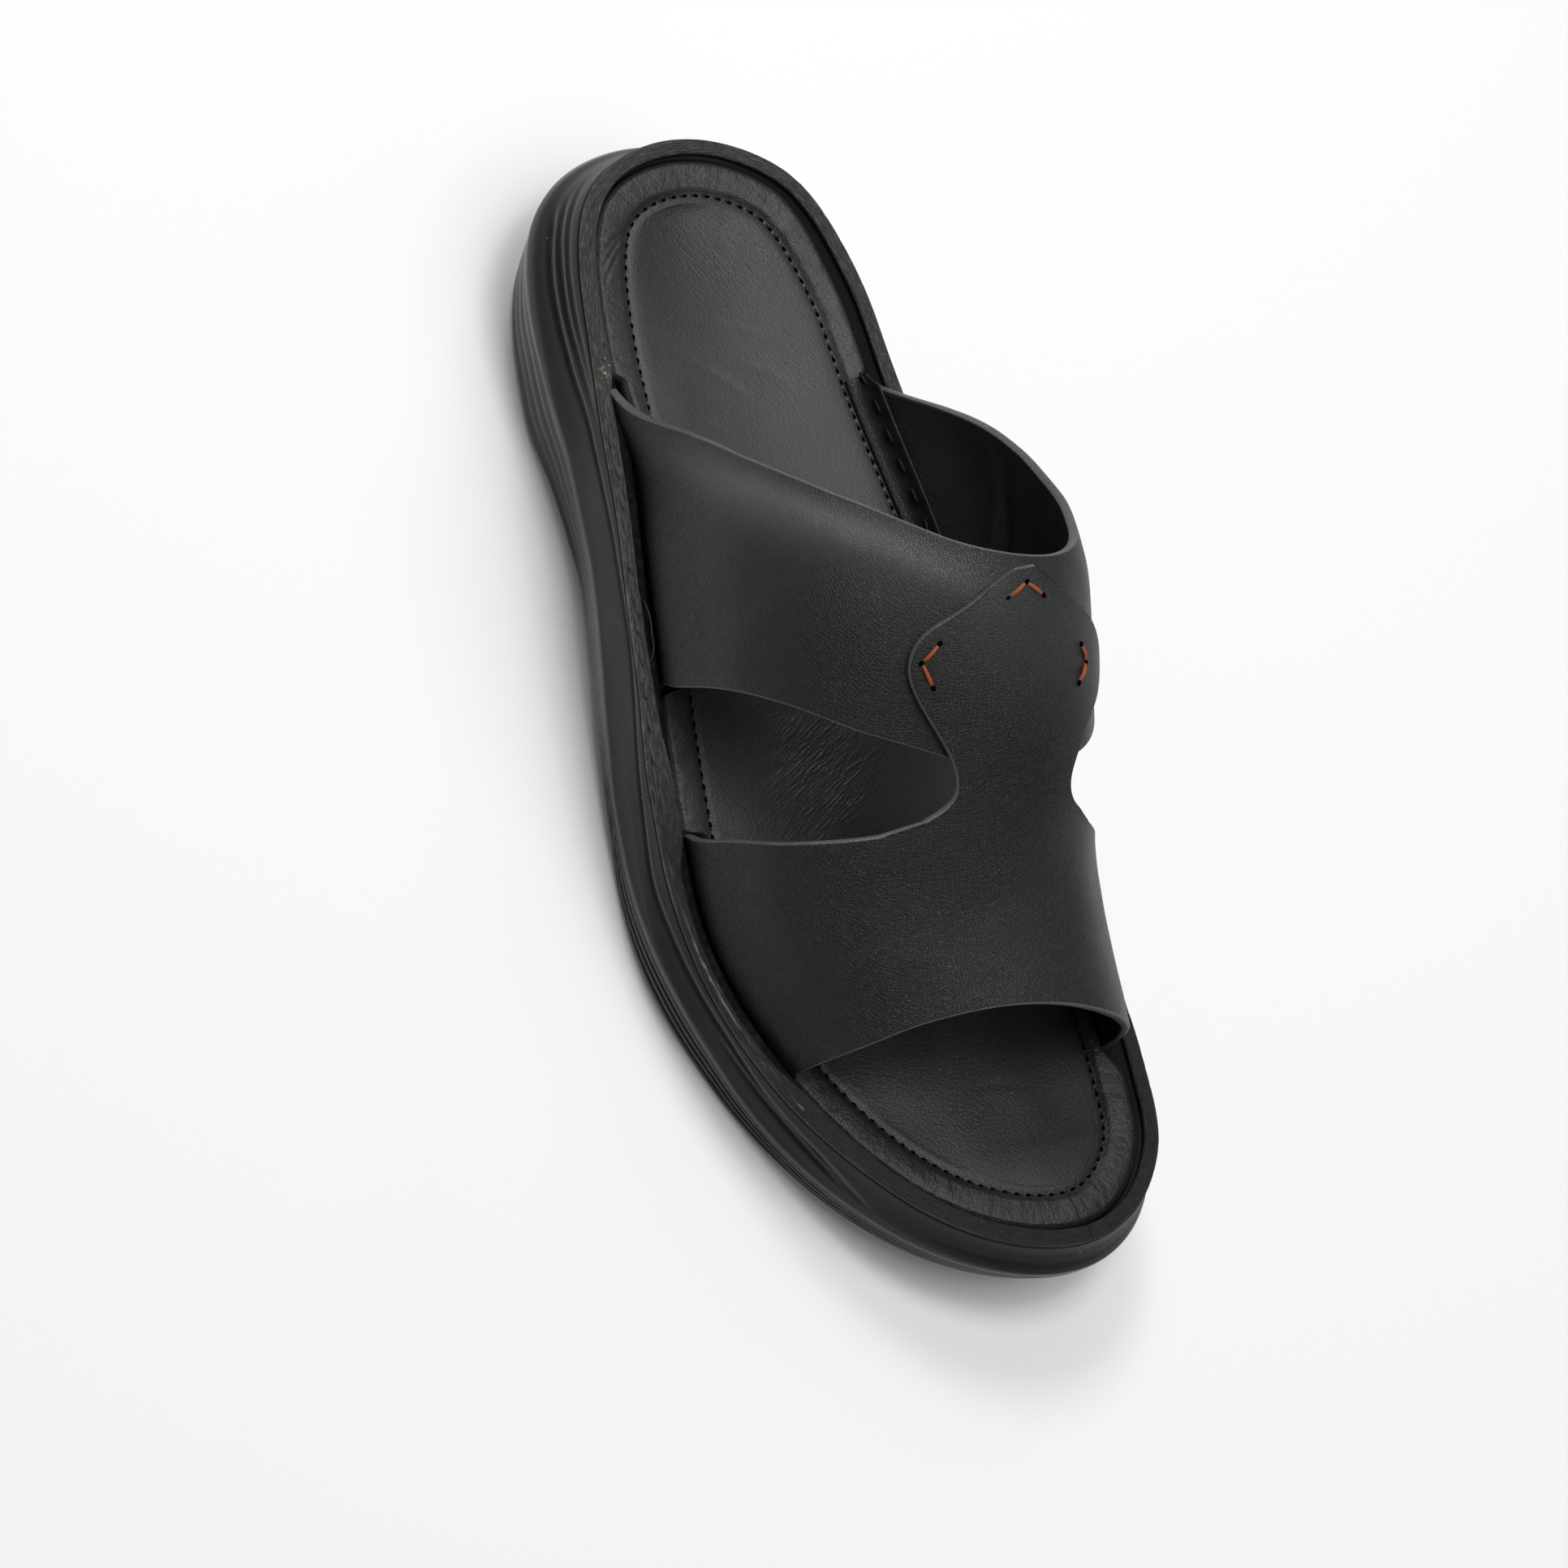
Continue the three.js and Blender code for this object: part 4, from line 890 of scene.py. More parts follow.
# Fine creases: the patches' name, where they are, and the angle of the creases. A patch has its middle
# along and across in mm, half its size in both, and its strength.
CREASE_PATCHES = [
    ("creased_back", [(0.08, 3, 0.0515, 15, 0.6), (0.2, 14, 0.044, 9, 0.5),
                      (0.17, -12, 0.044, 7, 0.3)], 1.15),
    ("creased_front", [(0.555, -12, 0.059, 16, 1.0), (0.59, -18, 0.0405, 10, 0.6),
                       (0.115, 22, 0.037, 8, 0.5), (0.80, 4, 0.044, 16, 0.25)], -0.45),
]
rear_back, rear_front, front_back, front_front = curves(EDGE_ROWS, steady=False)
shrink = curve_through(SHRINK_ROWS)


def lateral_inset(along):
    return mix(STRAP_CORNER_INSET, STRAP_LATERAL_INSET, ease(CORNER_FROM, CORNER_TO, along))


def bed_edge(along):
    return rim_top(along) - FOOTBED_DROP


def tray_floor(along):
    return rim_top(along) - TRAY_DEPTH


def notch(turn):
    """How far the footbed's edge stands back where the straps go down beside it."""
    along = along_of(turn)
    depths = []
    for rows in (LATERAL_NOTCHES, MEDIAL_NOTCHES):
        depth = 0.0
        for start, end, way_in, way_out in rows:
            into = ease(start - way_in / FOOTBED_LENGTH, start, along)
            depth = np.maximum(depth, into * (1 - ease(end, end + way_out / FOOTBED_LENGTH, along)))
        depths.append(depth)
    lateral_notch = (lateral_inset(along) + NOTCH_CLEARANCE) * depths[0]
    medial_notch = np.maximum((STRAP_INSET + NOTCH_CLEARANCE) * depths[1], shrink(along))
    return np.where(turn < 0, lateral_notch, medial_notch)


def bed_plan(turn, distance, height):
    left = 1 - ease(0.0, NOTCH_FADE, distance)
    return plan_point(turn, -(distance + notch(turn) * left), height)


bed_turns = np.linspace(-math.pi, math.pi, BED_STEPS, endpoint=False)
bed_along = along_of(bed_turns)
seam_plan = bed_plan(bed_turns, BORDER_WIDTH, bed_edge(bed_along) - BORDER_DIP)
seam_steps = np.linalg.norm(np.roll(seam_plan, -1, axis=0) - seam_plan, axis=1)
seam_length = seam_steps.sum()
seam_place = np.concatenate([[0], np.cumsum(seam_steps)[:-1]]) / seam_length
STITCH_COUNT = round(seam_length / STITCH_PITCH)


def bed_relief(distance):
    """Height of the footbed's top over its edge line, at a distance inside its outline."""
    shape = np.zeros(BED_STEPS)
    if distance < EDGE_ROUND:
        return shape + EDGE_ROUND * (math.sqrt(1 - (1 - distance / EDGE_ROUND) ** 2) - 1)
    share = min((distance - EDGE_ROUND) / (BORDER_WIDTH - EDGE_ROUND), 1)
    slope = BORDER_DIP + HEEL_SLOPE * rim_heel(bed_along)
    shape += -slope * share + BORDER_PUFF * math.sin(math.pi * share) ** 0.8
    shape += CENTRE_RISE * float(ease(BORDER_WIDTH, BORDER_WIDTH + 1.8, distance))
    shape -= CHANNEL_DEPTH * math.exp(-((distance - BORDER_WIDTH) / CHANNEL_HALF_WIDTH) ** 2)
    near_seam = math.exp(-abs(distance - BORDER_WIDTH) / 1.3)
    near_seam *= float(ease(10.5, 9.4, distance))
    shape += PUCKER_DEPTH * near_seam * np.cos(2 * math.pi * STITCH_COUNT * seam_place)
    on_border = float(ease(EDGE_ROUND, 3.0, distance) * (1 - ease(7.6, BORDER_WIDTH, distance)))
    wrinkles = value_noise(seam_place * 190, np.full(BED_STEPS, distance / 5.0), 7, wrap=190)
    folds = value_noise(seam_place * 62, np.full(BED_STEPS, distance / 3.5), 8, wrap=62)
    shape += WRINKLE_DEPTH * on_border * (0.55 * wrinkles + 0.6 * folds * np.abs(folds))
    for fold_along, lean, deep, half_width in BORDER_FOLDS:
        away = (bed_along - fold_along - lean * distance) / half_width
        shape -= deep * on_border * np.where(bed_turns < 0, np.exp(-away ** 2), 0.0)
    return shape


def crease_depth(points):
    """How far the listed creases press points of the centre down."""
    depth = np.zeros(len(points))
    for from_along, from_x, to_along, to_x, deep, half_width in CREASES:
        a = np.array([from_x, FOOTBED_LENGTH * (0.5 - from_along)])
        b = np.array([to_x, FOOTBED_LENGTH * (0.5 - to_along)])
        share = np.clip((points[:, :2] - a) @ (b - a) / ((b - a) @ (b - a)), 0, 1)
        bow = np.sin(math.pi * share)[:, None] * np.array([a[1] - b[1], b[0] - a[0]]) * 0.10
        gap = np.linalg.norm(points[:, :2] - (a + share[:, None] * (b - a) + bow), axis=1)
        depth += deep * np.exp(-(gap / half_width) ** 2) * np.sin(math.pi * np.clip(share, 0.04, 0.96))
    return depth


# Fine creases run in one direction over the insole, where the foot has bent it
creasing, given, height = group_of(
    "creasing", {"Vector": (0, 0, 0), "Turn": (0, 0, 0), "Amount": 1.0}, "Height")
across_them = made(creasing, "ShaderNodeVectorRotate", 0, rotation_type="EULER_XYZ", Vector=given["Vector"],
                   Rotation=given["Turn"])
pulled = made(creasing, "ShaderNodeVectorMath", 0, across_them, CREASE_STRETCH, operation="MULTIPLY")
ridged = reckon(creasing, "ABSOLUTE", reckon(creasing, "SUBTRACT", noise(creasing, pulled, 1.0, 2.0), 0.5))
creasing.links.new(reckon(creasing, "MULTIPLY", ridged, given["Amount"]), height)

insole_leather, insole_shader = leather_material(
    "insole_leather", (0.0085, 0.0087, 0.0091), (0.0145, 0.0148, 0.0154), (0.40, 0.52), 1000.0, 0.55,
    300.0, 0.06, 0.45)
tree = insole_leather.node_tree
# Paler where marked worn: wear and painted light from the heel to the waist, and a painted pool of light on
# the window between the straps
tint(insole_shader, mark_of(tree, "worn"), WORN_AND_PAINTED_LIGHT_TONE)
puckers = made(tree, "ShaderNodeGroup", 0, mark_of(tree, "around", "Vector"), node_tree=streaks,
               Stretch=(0.42, 0.22, 1.0))
add_bump(insole_shader, reckon(tree, "MULTIPLY", puckers, mark_of(tree, "border")), 0.55, 0.0014)
for label, patches, angle in CREASE_PATCHES:
    creases = made(tree, "ShaderNodeGroup", 0, object_place(tree), node_tree=creasing, Turn=(0, 0, angle),
                   Amount=mark_of(tree, label))
    add_bump(insole_shader, creases, 0.8, 0.0008)


def spots(x, y, rows):
    """Soft spots in all: middle in x and y, half size in both, and strength."""
    return sum(strength * np.exp(-((x - at_x) / half_x) ** 2 - ((y - at_y) / half_y) ** 2)
               for at_x, at_y, half_x, half_y, strength in rows)


distances = [0.0, 0.15, 0.4, 0.8, 1.4, *np.linspace(1.9, 7.7, 15), *np.linspace(8.0, 10.8, 14)]
bed_rings = [bed_plan(bed_turns, 0.0, tray_floor(bed_along) + CLEARANCE)]
bed_rings += [bed_plan(bed_turns, d, bed_edge(bed_along) + bed_relief(d)) for d in distances]


def centre_swell(point, share, k):
    width = np.linalg.norm(bed_rings[-1][k] - bed_rings[-1][-k])
    rise = mix(BALL_CROWN, -HEEL_CUP, rim_heel(along_of(bed_turns[k]))) * ease(0, SWELL_FULL_WIDTH, width)
    return point + [0, 0, (4 * share * (1 - share)) ** SWELL_POWER * rise]


bed_count = len(bed_rings) * BED_STEPS
bed_top, top_faces = ladder(bed_rings[-1], BED_COLUMNS, centre_swell, bed_count - BED_STEPS, bed_count)
bed_bottom, bottom_faces = ladder(bed_rings[0], 2, level, 0, bed_count + len(bed_top))
bed_top = np.array(bed_top)
soft = value_noise(bed_top[:, 0] / 9 + 20, bed_top[:, 1] / 13 + 20, 9)
bed_top[:, 2] += CENTRE_WAVE * soft - crease_depth(bed_top)
bed_points = np.concatenate([*bed_rings, bed_top, bed_bottom])
footbed = make_piece("footbed_padded", bed_points, ring_faces(len(bed_rings), BED_STEPS) + top_faces
                     + bottom_faces, [insole_leather])
around = np.zeros((len(bed_points), 3))
border = np.zeros(len(bed_points))
for row, distance in enumerate([0.0, *distances]):
    place = slice(row * BED_STEPS, (row + 1) * BED_STEPS)
    around[place, 0] = seam_place * seam_length
    around[place, 1] = distance
    border[place] = ease(0.4, 1.6, distance) * ease(8.2, 6.6, distance)
own_mark(footbed.data, "around", around)
own_mark(footbed.data, "border", border)
bed_place = 0.5 - bed_points[:, 1] / FOOTBED_LENGTH
for label, patches, angle in CREASE_PATCHES:
    own_mark(footbed.data, label, np.clip(spots(bed_place, bed_points[:, 0], patches), 0, 1))
# The worn mark: from the heel to the waist, wear together with painted light; on the window between the
# straps, a painted pool of light
worn = ease(0.52, 0.34, bed_place) * mix(0.55, 1.0, ease(0.08, 0.2, bed_place))
own_mark(footbed.data, "worn", worn + 0.95 * np.exp(-((bed_place - 0.56) / 0.08) ** 2))
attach(footbed, "root")
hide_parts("footbed")

seam_ring = bed_rings[1 + np.argmin(np.abs(np.array(distances) - BORDER_WIDTH))]
pitch = seam_length / STITCH_COUNT
half_stitch = round(BED_STEPS / STITCH_COUNT / 2)
stitch_row("footbed_stitches", seam_ring + [0, 0, 0.08], (0, 0, 1), True, (pitch, *SEAM_STITCH), 0.09, 6,
           black_thread)
# Dark dots between the stitches: painted shade of the needle holes
stitch_row("footbed_holes", np.roll(seam_ring, -half_stitch, axis=0) + [0, 0, 0.05], (0, 0, 1), True,
           (pitch, *SEAM_HOLE), 0.12, 7, hole_painted_shade)


# Straps. Two sheets of smooth black leather with a grained lining arch over the foot. Their cut edges
# are rounded and pale, and their feet go down between footbed and welt and are cemented there.
STRAP_THICKNESS = 2.2
STRAP_FUSE = 0.2
UPRIGHT_SHARE = 0.08
INSTEP_HEIGHT = 74.0
MEDIAL_BULGE = 12.0
LATERAL_BULGE = 4.0
REAR_ROWS = 64
REAR_COLUMNS = 190
FRONT_ROWS = 52
LATERAL_COLUMNS = 64
TAB_COLUMNS = 40
MEDIAL_COLUMNS = 60
TAB_STEPS = 60
FOOT_STEPS = 6
TAB_ROOT_LATERAL = 0.353
TAB_ROOT_MEDIAL = 0.687
LAP_START, LAP_FULL = 0.74, 0.66
LAP_FOOT, LAP_TOP = 0.10, 0.33
# across, up, lateral, medial
ARCH_ROWS = [
    (-1, 0, 0, 0), (-1, 0.2, 0.7, 0), (-0.88, 0.5, 1, 0), (-0.62, 0.78, 0.8, 0),
    (-0.2, 0.96, 0.3, 0), (0.2, 1, 0, 0.1), (0.56, 0.87, 0, 0.6), (0.84, 0.58, 0, 1),
    (0.97, 0.27, 0, 0.8), (1, 0, 0, 0),
]
# along, height, medial, lateral, lean
INSTEP_ROWS = [
    (0.2, 0.96, 0.15, 0.15, 0.13), (0.37, 1.01, 0.86, 0.75, 0.2), (0.48, 0.99, 1, 1, 0.24),
    (0.59, 0.82, 0.75, 0.75, 0.24), (0.7, 0.61, 0.22, 0.5, 0.12), (0.81, 0.46, 0.03, 0.25, 0.02),
    (0.9, 0.36, 0, 0.25, 0),
]
# The tab's edges: row, lateral along, lateral across, medial along, medial across
TAB_ROWS = [
    (0, 0.654, 0.396, 0.674, 0.652), (1, 0.648, 0.42, 0.665, 0.624), (2, 0.638, 0.43, 0.653, 0.612),
    (3, 0.619, 0.425, 0.637, 0.617), (4, 0.592, 0.408, 0.61, 0.643), (5, 0.559, 0.389, 0.583, 0.69),
    (6, 0.537, 0.385, 0.559, 0.712), (7, 0.52, 0.4, 0.542, 0.675), (8, 0.511, 0.44, 0.524, 0.615),
    (9, 0.4995, 0.482, 0.506, 0.564), (10, 0.4938, 0.511, 0.4942, 0.538),
]
# Cut edge from the inner to the outer face: share of the thickness, how far it stands out in mm
CUT_PROFILE = [
    (0, -0.12), (0.12, 0), (0.4, 0.05), (0.66, 0.05), (0.82, -0.03), (0.93, -0.16), (1, -0.42),
]
# Folds of the lining on the inner side: along, how far they lean, depth in mm, half width along
LINING_FOLDS = [(0.352, 1.05, 0.7, 0.012), (0.405, 0.85, 0.6, 0.01), (0.378, 0.95, -0.8, 0.015)]
# Places of a fold, of a painted highlight and of painted shade: how far below the collar or along, across,
# half size of both, and strength
COLLAR_FOLD = [(0.036, 0.30, 0.019, 0.15, 1.9)]
PAINTED_HIGHLIGHT_SPOTS = [(0.030, 0.29, 0.024, 0.14, 1.0), (0.05, 0.45, 0.05, 0.25, 0.25)]
PAINTED_SHADE_SPOTS = [(0.64, 0.58, 0.05, 0.16, 0.8)]
# Colour of the painted highlight below the collar
PAINTED_HIGHLIGHT_TONE = (0.085, 0.085, 0.089)
# Colour of the painted shade, and how strong it is on the rear strap's outer side
PAINTED_SHADE_TONE = (0.0025, 0.0026, 0.003)
PAINTED_SHADE_SIDE = 0.85
STRAP_DENTS = [
    (0.400, 0.36, 0.030, 0.10, 0.7), (0.300, 0.10, 0.030, 0.05, 0.5), (0.440, 0.20, 0.020, 0.08, 0.5),
    (0.690, 0.30, 0.025, 0.09, 0.6), (0.700, 0.62, 0.030, 0.10, 0.5), (0.770, 0.22, 0.030, 0.06, 0.5),
]
# Waviness of the leather: height in mm, waves along and across, seed
STRAP_WAVES = [(0.30, 16, 9, 11), (0.12, 45, 22, 12)]
FOOT_SWELL = 3.0
FOOT_SWELL_WIDTH = 0.17
instep_height, instep_medial, instep_lateral, instep_lean = curves(INSTEP_ROWS)
arch_table = np.array(ARCH_ROWS)
arch_table = np.vstack([2 * arch_table[0] - arch_table[1], arch_table, 2 * arch_table[-1] - arch_table[-2]])


def side_x(along, side, inset):
    turn = side * turn_at(along)
    slope_x = (outline_x(turn + TURN_STEP) - outline_x(turn - TURN_STEP)) / (2 * TURN_STEP)
    slope_y = FOOTBED_LENGTH / 2 * np.sin(turn)
    return outline_x(turn) - side * inset * np.hypot(1, slope_x / slope_y)


def arch_point(along, across):
    """Points of the arch over the foot, in mm."""
    count = len(ARCH_ROWS) - 1
    place = np.clip(across, 0, 1) * count
    k = np.minimum(np.floor(place).astype(int), count - 1)
    u = (place - k)[..., None]
    a, b, c, d = (arch_table[k + step] for step in range(4))
    row = 0.5 * (2 * b + (c - a) * u + (2 * a - 5 * b + 4 * c - d) * u ** 2
                 + (3 * b - a - 3 * c + d) * u ** 3)
    row_across, row_up, row_lateral, row_medial = (row[..., key] for key in range(4))
    lateral_x = side_x(along, -1, lateral_inset(along))
    medial_x = side_x(along, 1, STRAP_INSET)
    half = (medial_x - lateral_x) / 2
    lean = instep_lean(along) * half * row_up * (1 - row_across ** 2)
    bulge = MEDIAL_BULGE * instep_medial(along) * row_medial
    bulge = bulge - LATERAL_BULGE * instep_lateral(along) * row_lateral
    x = (medial_x + lateral_x) / 2 + half * row_across + lean + bulge
    z = bed_edge(along) + INSTEP_HEIGHT * instep_height(along) * row_up
    return np.stack([x, FOOTBED_LENGTH * (0.5 - along), z], axis=-1)


def strap_point(along, across, drop, offset):
    """Points on the arch lifted off along its normal, or dropped into the slot beside the footbed."""
    step = 1e-3
    down_foot = arch_point(along + step, across) - arch_point(along - step, across)
    over_foot = arch_point(along, np.minimum(across + step, 1))
    over_foot = over_foot - arch_point(along, np.maximum(across - step, 0))
    normal = np.cross(down_foot, over_foot)
    normal /= np.linalg.norm(normal, axis=-1, keepdims=True)
    normal[..., 2] *= ease(0, UPRIGHT_SHARE, np.minimum(across, 1 - across))
    normal /= np.linalg.norm(normal, axis=-1, keepdims=True)
    point = arch_point(along, across) + normal * offset[..., None]
    depth = bed_edge(along) - tray_floor(along) - CLEARANCE * 2
    point[..., 2] -= drop * depth
    return point


def net_quads(starts, columns):
    """Quads of a net whose rows start at the given indices."""
    quads = []
    for low, high in zip(starts[:-1], starts[1:]):
        c = np.arange(columns - 1)
        quads += np.stack([low + c, low + c + 1, high + c + 1, high + c], axis=1).tolist()
    return quads


def boundary_loop(quads):
    """The indices round the rim of a net, in order."""
    sides = list(zip(quads.ravel().tolist(), np.roll(quads, -1, axis=1).ravel().tolist()))
    every_side = set(sides)
    after = {start: end for start, end in sides if (end, start) not in every_side}
    loop = [next(iter(after))]
    while after[loop[-1]] != loop[0]:
        loop.append(after[loop[-1]])
    return np.array(loop)


def lining_folds(along, across):
    """Soft upright folds of the lining on the inner side, in mm."""
    folds = 0.0
    for fold_along, fold_lean, deep, half_width in LINING_FOLDS:
        middle = fold_along + fold_lean * (across - 0.85)
        folds = folds + deep * np.exp(-((along - middle) / half_width) ** 2)
    folds = folds * ease(0.01, 0.045, along - rear_back(np.clip(across, 0, 1)))
    return folds * ease(0.68, 0.80, across) * ease(0.0, 0.04, 1 - across)


def outer_shape(along, across):
    """Soft folds of the straps and the swell of their feet over the welt, in mm."""
    below_collar = along - rear_back(np.clip(across, 0, 1))
    folds = spots(below_collar, across, COLLAR_FOLD) - spots(along, across, STRAP_DENTS)
    return folds + FOOT_SWELL * ease(FOOT_SWELL_WIDTH, 0.0, across)


def sheet_piece(name, along, across, drop, quads, lift):
    """A strap from a net of places: inner and outer face and a rounded cut edge."""
    wave = sum(high * value_noise(along * a, across * b, seed) for high, a, b, seed in STRAP_WAVES)
    wave = wave * ease(0, 0.12, np.minimum(across, 1 - across)) * (1 - np.minimum(lift, 1))
    wave = wave + outer_shape(along, across)
    inner = strap_point(along, across, drop, lift + wave - lining_folds(along, across))
    outer = strap_point(along, across, drop, lift + wave + STRAP_THICKNESS)
    quads = np.array(quads)
    loop = boundary_loop(quads)
    tangent = np.roll(outer[loop], -1, axis=0) - np.roll(outer[loop], 1, axis=0)
    thick = outer[loop] - inner[loop]
    outward = np.cross(tangent, thick)
    outward = sum(np.roll(outward / np.linalg.norm(outward, axis=1, keepdims=True), k, axis=0)
                  for k in range(-2, 3))
    outward /= np.linalg.norm(outward, axis=1, keepdims=True)
    middle = outer.mean(axis=0)
    if ((outer[loop] - middle) * outward).sum(axis=1).mean() < 0:
        outward = -outward
    base_inner, base_outer = inner[loop].copy(), outer[loop].copy()
    inner[loop] += outward * CUT_PROFILE[0][1]
    outer[loop] += outward * CUT_PROFILE[-1][1]
    count, rim = len(inner), len(loop)
    points = [inner, outer]
    rows = [loop]
    for share, out in CUT_PROFILE[1:-1]:
        rows.append(sum(len(p) for p in points) + np.arange(rim))
        points.append(mix(base_inner, base_outer, share) + outward * out)
    rows.append(loop + count)
    faces = quads.tolist() + (quads[:, ::-1] + count).tolist()
    zones = [1] * len(quads) + [0] * len(quads)
    for low, high in zip(rows[:-1], rows[1:]):
        edge = np.stack([low, high, np.roll(high, -1), np.roll(low, -1)], axis=1)
        faces += edge.tolist()
        zones += [2] * rim
    piece = make_piece(name, np.concatenate(points), faces,
                       [upper_leather, lining_leather, cut_leather], zones)
    # Marks for a painted highlight below the collar and for painted shade on the straps
    below_collar = along - rear_back(np.clip(across, 0, 1))
    on_rear = ease(0.0, -0.02, along - rear_front(np.clip(across, 0, 1)))
    # Painted shade on the rear strap's outer side, fading in below the collar, and on the front strap's
    # middle
    painted_shade = PAINTED_SHADE_SIDE * ease(0.30, 0.12, across) * on_rear * ease(0.03, 0.08, below_collar)
    painted_shade += spots(along, across, PAINTED_SHADE_SPOTS)
    for label, amount in (("painted_highlight", spots(below_collar, across, PAINTED_HIGHLIGHT_SPOTS)), ("painted_shade", painted_shade)):
        amount = np.concatenate([amount, amount, np.zeros(sum(len(p) for p in points[2:]))])
        own_mark(piece.data, label, np.clip(amount, 0, 1))
    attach(piece, "root")
    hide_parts("upper")


upper_leather, upper_shader = leather_material(
    "smooth_leather", (0.0090, 0.0092, 0.0100), (0.0135, 0.0138, 0.0147), (0.40, 0.50), 1500.0, 0.95,
    240.0, 0.03, 0.38)
lining_leather = leather_material(
    "grained_lining", (0.0190, 0.0190, 0.0202), (0.0300, 0.0300, 0.0318), (0.38, 0.52), 850.0, 0.8,
    240.0, 0.03, 0.5)[0]
cut_leather = leather_material(
    "cut_edge_leather", (0.048, 0.048, 0.050), (0.120, 0.120, 0.123), (0.42, 0.56), 800.0, 0.8,
    300.0, 0.06, 0.5)[0]
# Painted shade on the rear strap's outer side and the front strap's middle
tint(upper_shader, mark_of(upper_leather.node_tree, "painted_shade"), PAINTED_SHADE_TONE)
# A painted highlight below the rear strap's collar
tint(upper_shader, mark_of(upper_leather.node_tree, "painted_highlight"), PAINTED_HIGHLIGHT_TONE)


def strap_net(stops, rows, front, back):
    """Places of a strap between its front and back edge: along, across and the drop of its feet, and
    the number in a row."""
    feet = np.zeros(FOOT_STEPS)
    across = np.concatenate([feet, stops, feet + 1])
    drop = 1 - np.arange(FOOT_STEPS) / FOOT_STEPS
    drop = np.concatenate([drop, 0 * stops, drop[::-1]])
    along = [mix(front(across), back(across), share) for share in np.linspace(0, 1, rows + 1)]
    return [np.concatenate(along), np.tile(across, rows + 1), np.tile(drop, rows + 1)], len(across)


rear_net, rear_width = strap_net(np.linspace(0, 1, REAR_COLUMNS + 1), REAR_ROWS, rear_front, rear_back)
sheet_piece("rear_strap", *rear_net, net_quads(range(0, len(rear_net[0]), rear_width), rear_width), 0.0)

front_stops = np.concatenate([
    np.linspace(0, TAB_ROOT_LATERAL, LATERAL_COLUMNS, endpoint=False),
    np.linspace(TAB_ROOT_LATERAL, TAB_ROOT_MEDIAL, TAB_COLUMNS, endpoint=False),
    np.linspace(TAB_ROOT_MEDIAL, 1, MEDIAL_COLUMNS, endpoint=False), [1.0],
])
front_net, front_width = strap_net(front_stops, FRONT_ROWS, front_front, front_back)
tab_start = len(front_net[0])
front_quads = net_quads(range(0, tab_start, front_width), front_width)
tab_width = TAB_COLUMNS + 1
tab_rows = [FRONT_ROWS * front_width + FOOT_STEPS + LATERAL_COLUMNS]
tab_rows += [tab_start + row * tab_width for row in range(TAB_STEPS + 1)]
front_quads += net_quads(tab_rows, tab_width)
tab_shares = np.linspace(0, 1, tab_width)
tab_curves = curves(TAB_ROWS, steady=False)
for place in np.linspace(0, TAB_ROWS[-1][0], TAB_STEPS + 1):
    left, left_across, right, right_across = (curve(place) for curve in tab_curves)
    row = (mix(left, right, tab_shares), mix(left_across, right_across, tab_shares), 0 * tab_shares)
    front_net = [np.concatenate(pair) for pair in zip(front_net, row)]


def lap_lift(along, across):
    near_tab = 1 - ease(LAP_FULL, LAP_START, along)
    near_top = ease(LAP_FOOT, LAP_TOP, across) * ease(LAP_FOOT, LAP_TOP, 1 - across)
    return (STRAP_THICKNESS - STRAP_FUSE) * near_tab * near_top


sheet_piece("front_strap", *front_net, front_quads, lap_lift(front_net[0], front_net[1]))


# Flange. The lining is turned over the footbed's edge at the rear strap's inner foot and sewn down with
# coarse stitches, each in its own dimple.
FLANGE_FROM, FLANGE_TO = 0.231, 0.489
FLANGE_STATIONS = 220
# distance inside the footbed's outline, height over its edge, both in mm
FLANGE_SECTION = [
    (8.2, -1.2), (7.7, -0.7), (6.8, -0.25), (5.8, 0.55), (5.1, 1.7), (4.7, 3.1), (4.45, 4.5), (4.3, 5.5),
    (4.1, 6.1), (3.8, 6.2), (3.6, 5.2), (3.6, 0), (3.6, -2.2), (6, -2.4),
]
FLANGE_STITCH_PITCH = 7.5
FLANGE_STITCH_ROW = 5
DIMPLE_DEPTH = 0.40
flange_turns = turn_at(np.linspace(FLANGE_FROM, FLANGE_TO, FLANGE_STATIONS))
flange_along = along_of(flange_turns)
flange_run = flange_along * FOOTBED_LENGTH
taper = ease(FLANGE_FROM, FLANGE_FROM + 0.02, flange_along)
flange_rings = []
for row, (distance, height) in enumerate(FLANGE_SECTION):
    near_row = math.exp(-((row - FLANGE_STITCH_ROW) / 1.3) ** 2)
    dimple = DIMPLE_DEPTH * near_row * np.cos(math.pi * flange_run / FLANGE_STITCH_PITCH) ** 6
    lifted = np.where(height > 0, height * mix(0.45, 1.0, taper), height)
    flange_rings.append(plan_point(flange_turns, -(distance - dimple), bed_edge(flange_along) + lifted))
flange_points = np.stack(flange_rings, axis=1).reshape(-1, 3)
section_size = len(FLANGE_SECTION)
flange_faces = ring_faces(FLANGE_STATIONS, section_size)
flange_faces += [list(range(section_size)),
                 list(range((FLANGE_STATIONS - 1) * section_size, FLANGE_STATIONS * section_size))]
flange = make_piece("lining_flange", flange_points, flange_faces, [insole_leather])
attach(flange, "root")
flange_line = flange_rings[FLANGE_STITCH_ROW]
flange_facing = plan_point(flange_turns, -9.0, 0.0) - plan_point(flange_turns, -4.0, 0.0)
flange_facing[:, 2] += 3.2
flange_facing /= np.linalg.norm(flange_facing, axis=1, keepdims=True)
stitch_row("flange_stitches", (flange_line + 0.12 * flange_facing)[4:], flange_facing[4:], False,
           (FLANGE_STITCH_PITCH, 4.6, 1.1, 0.9), 0.10, 8, black_thread)


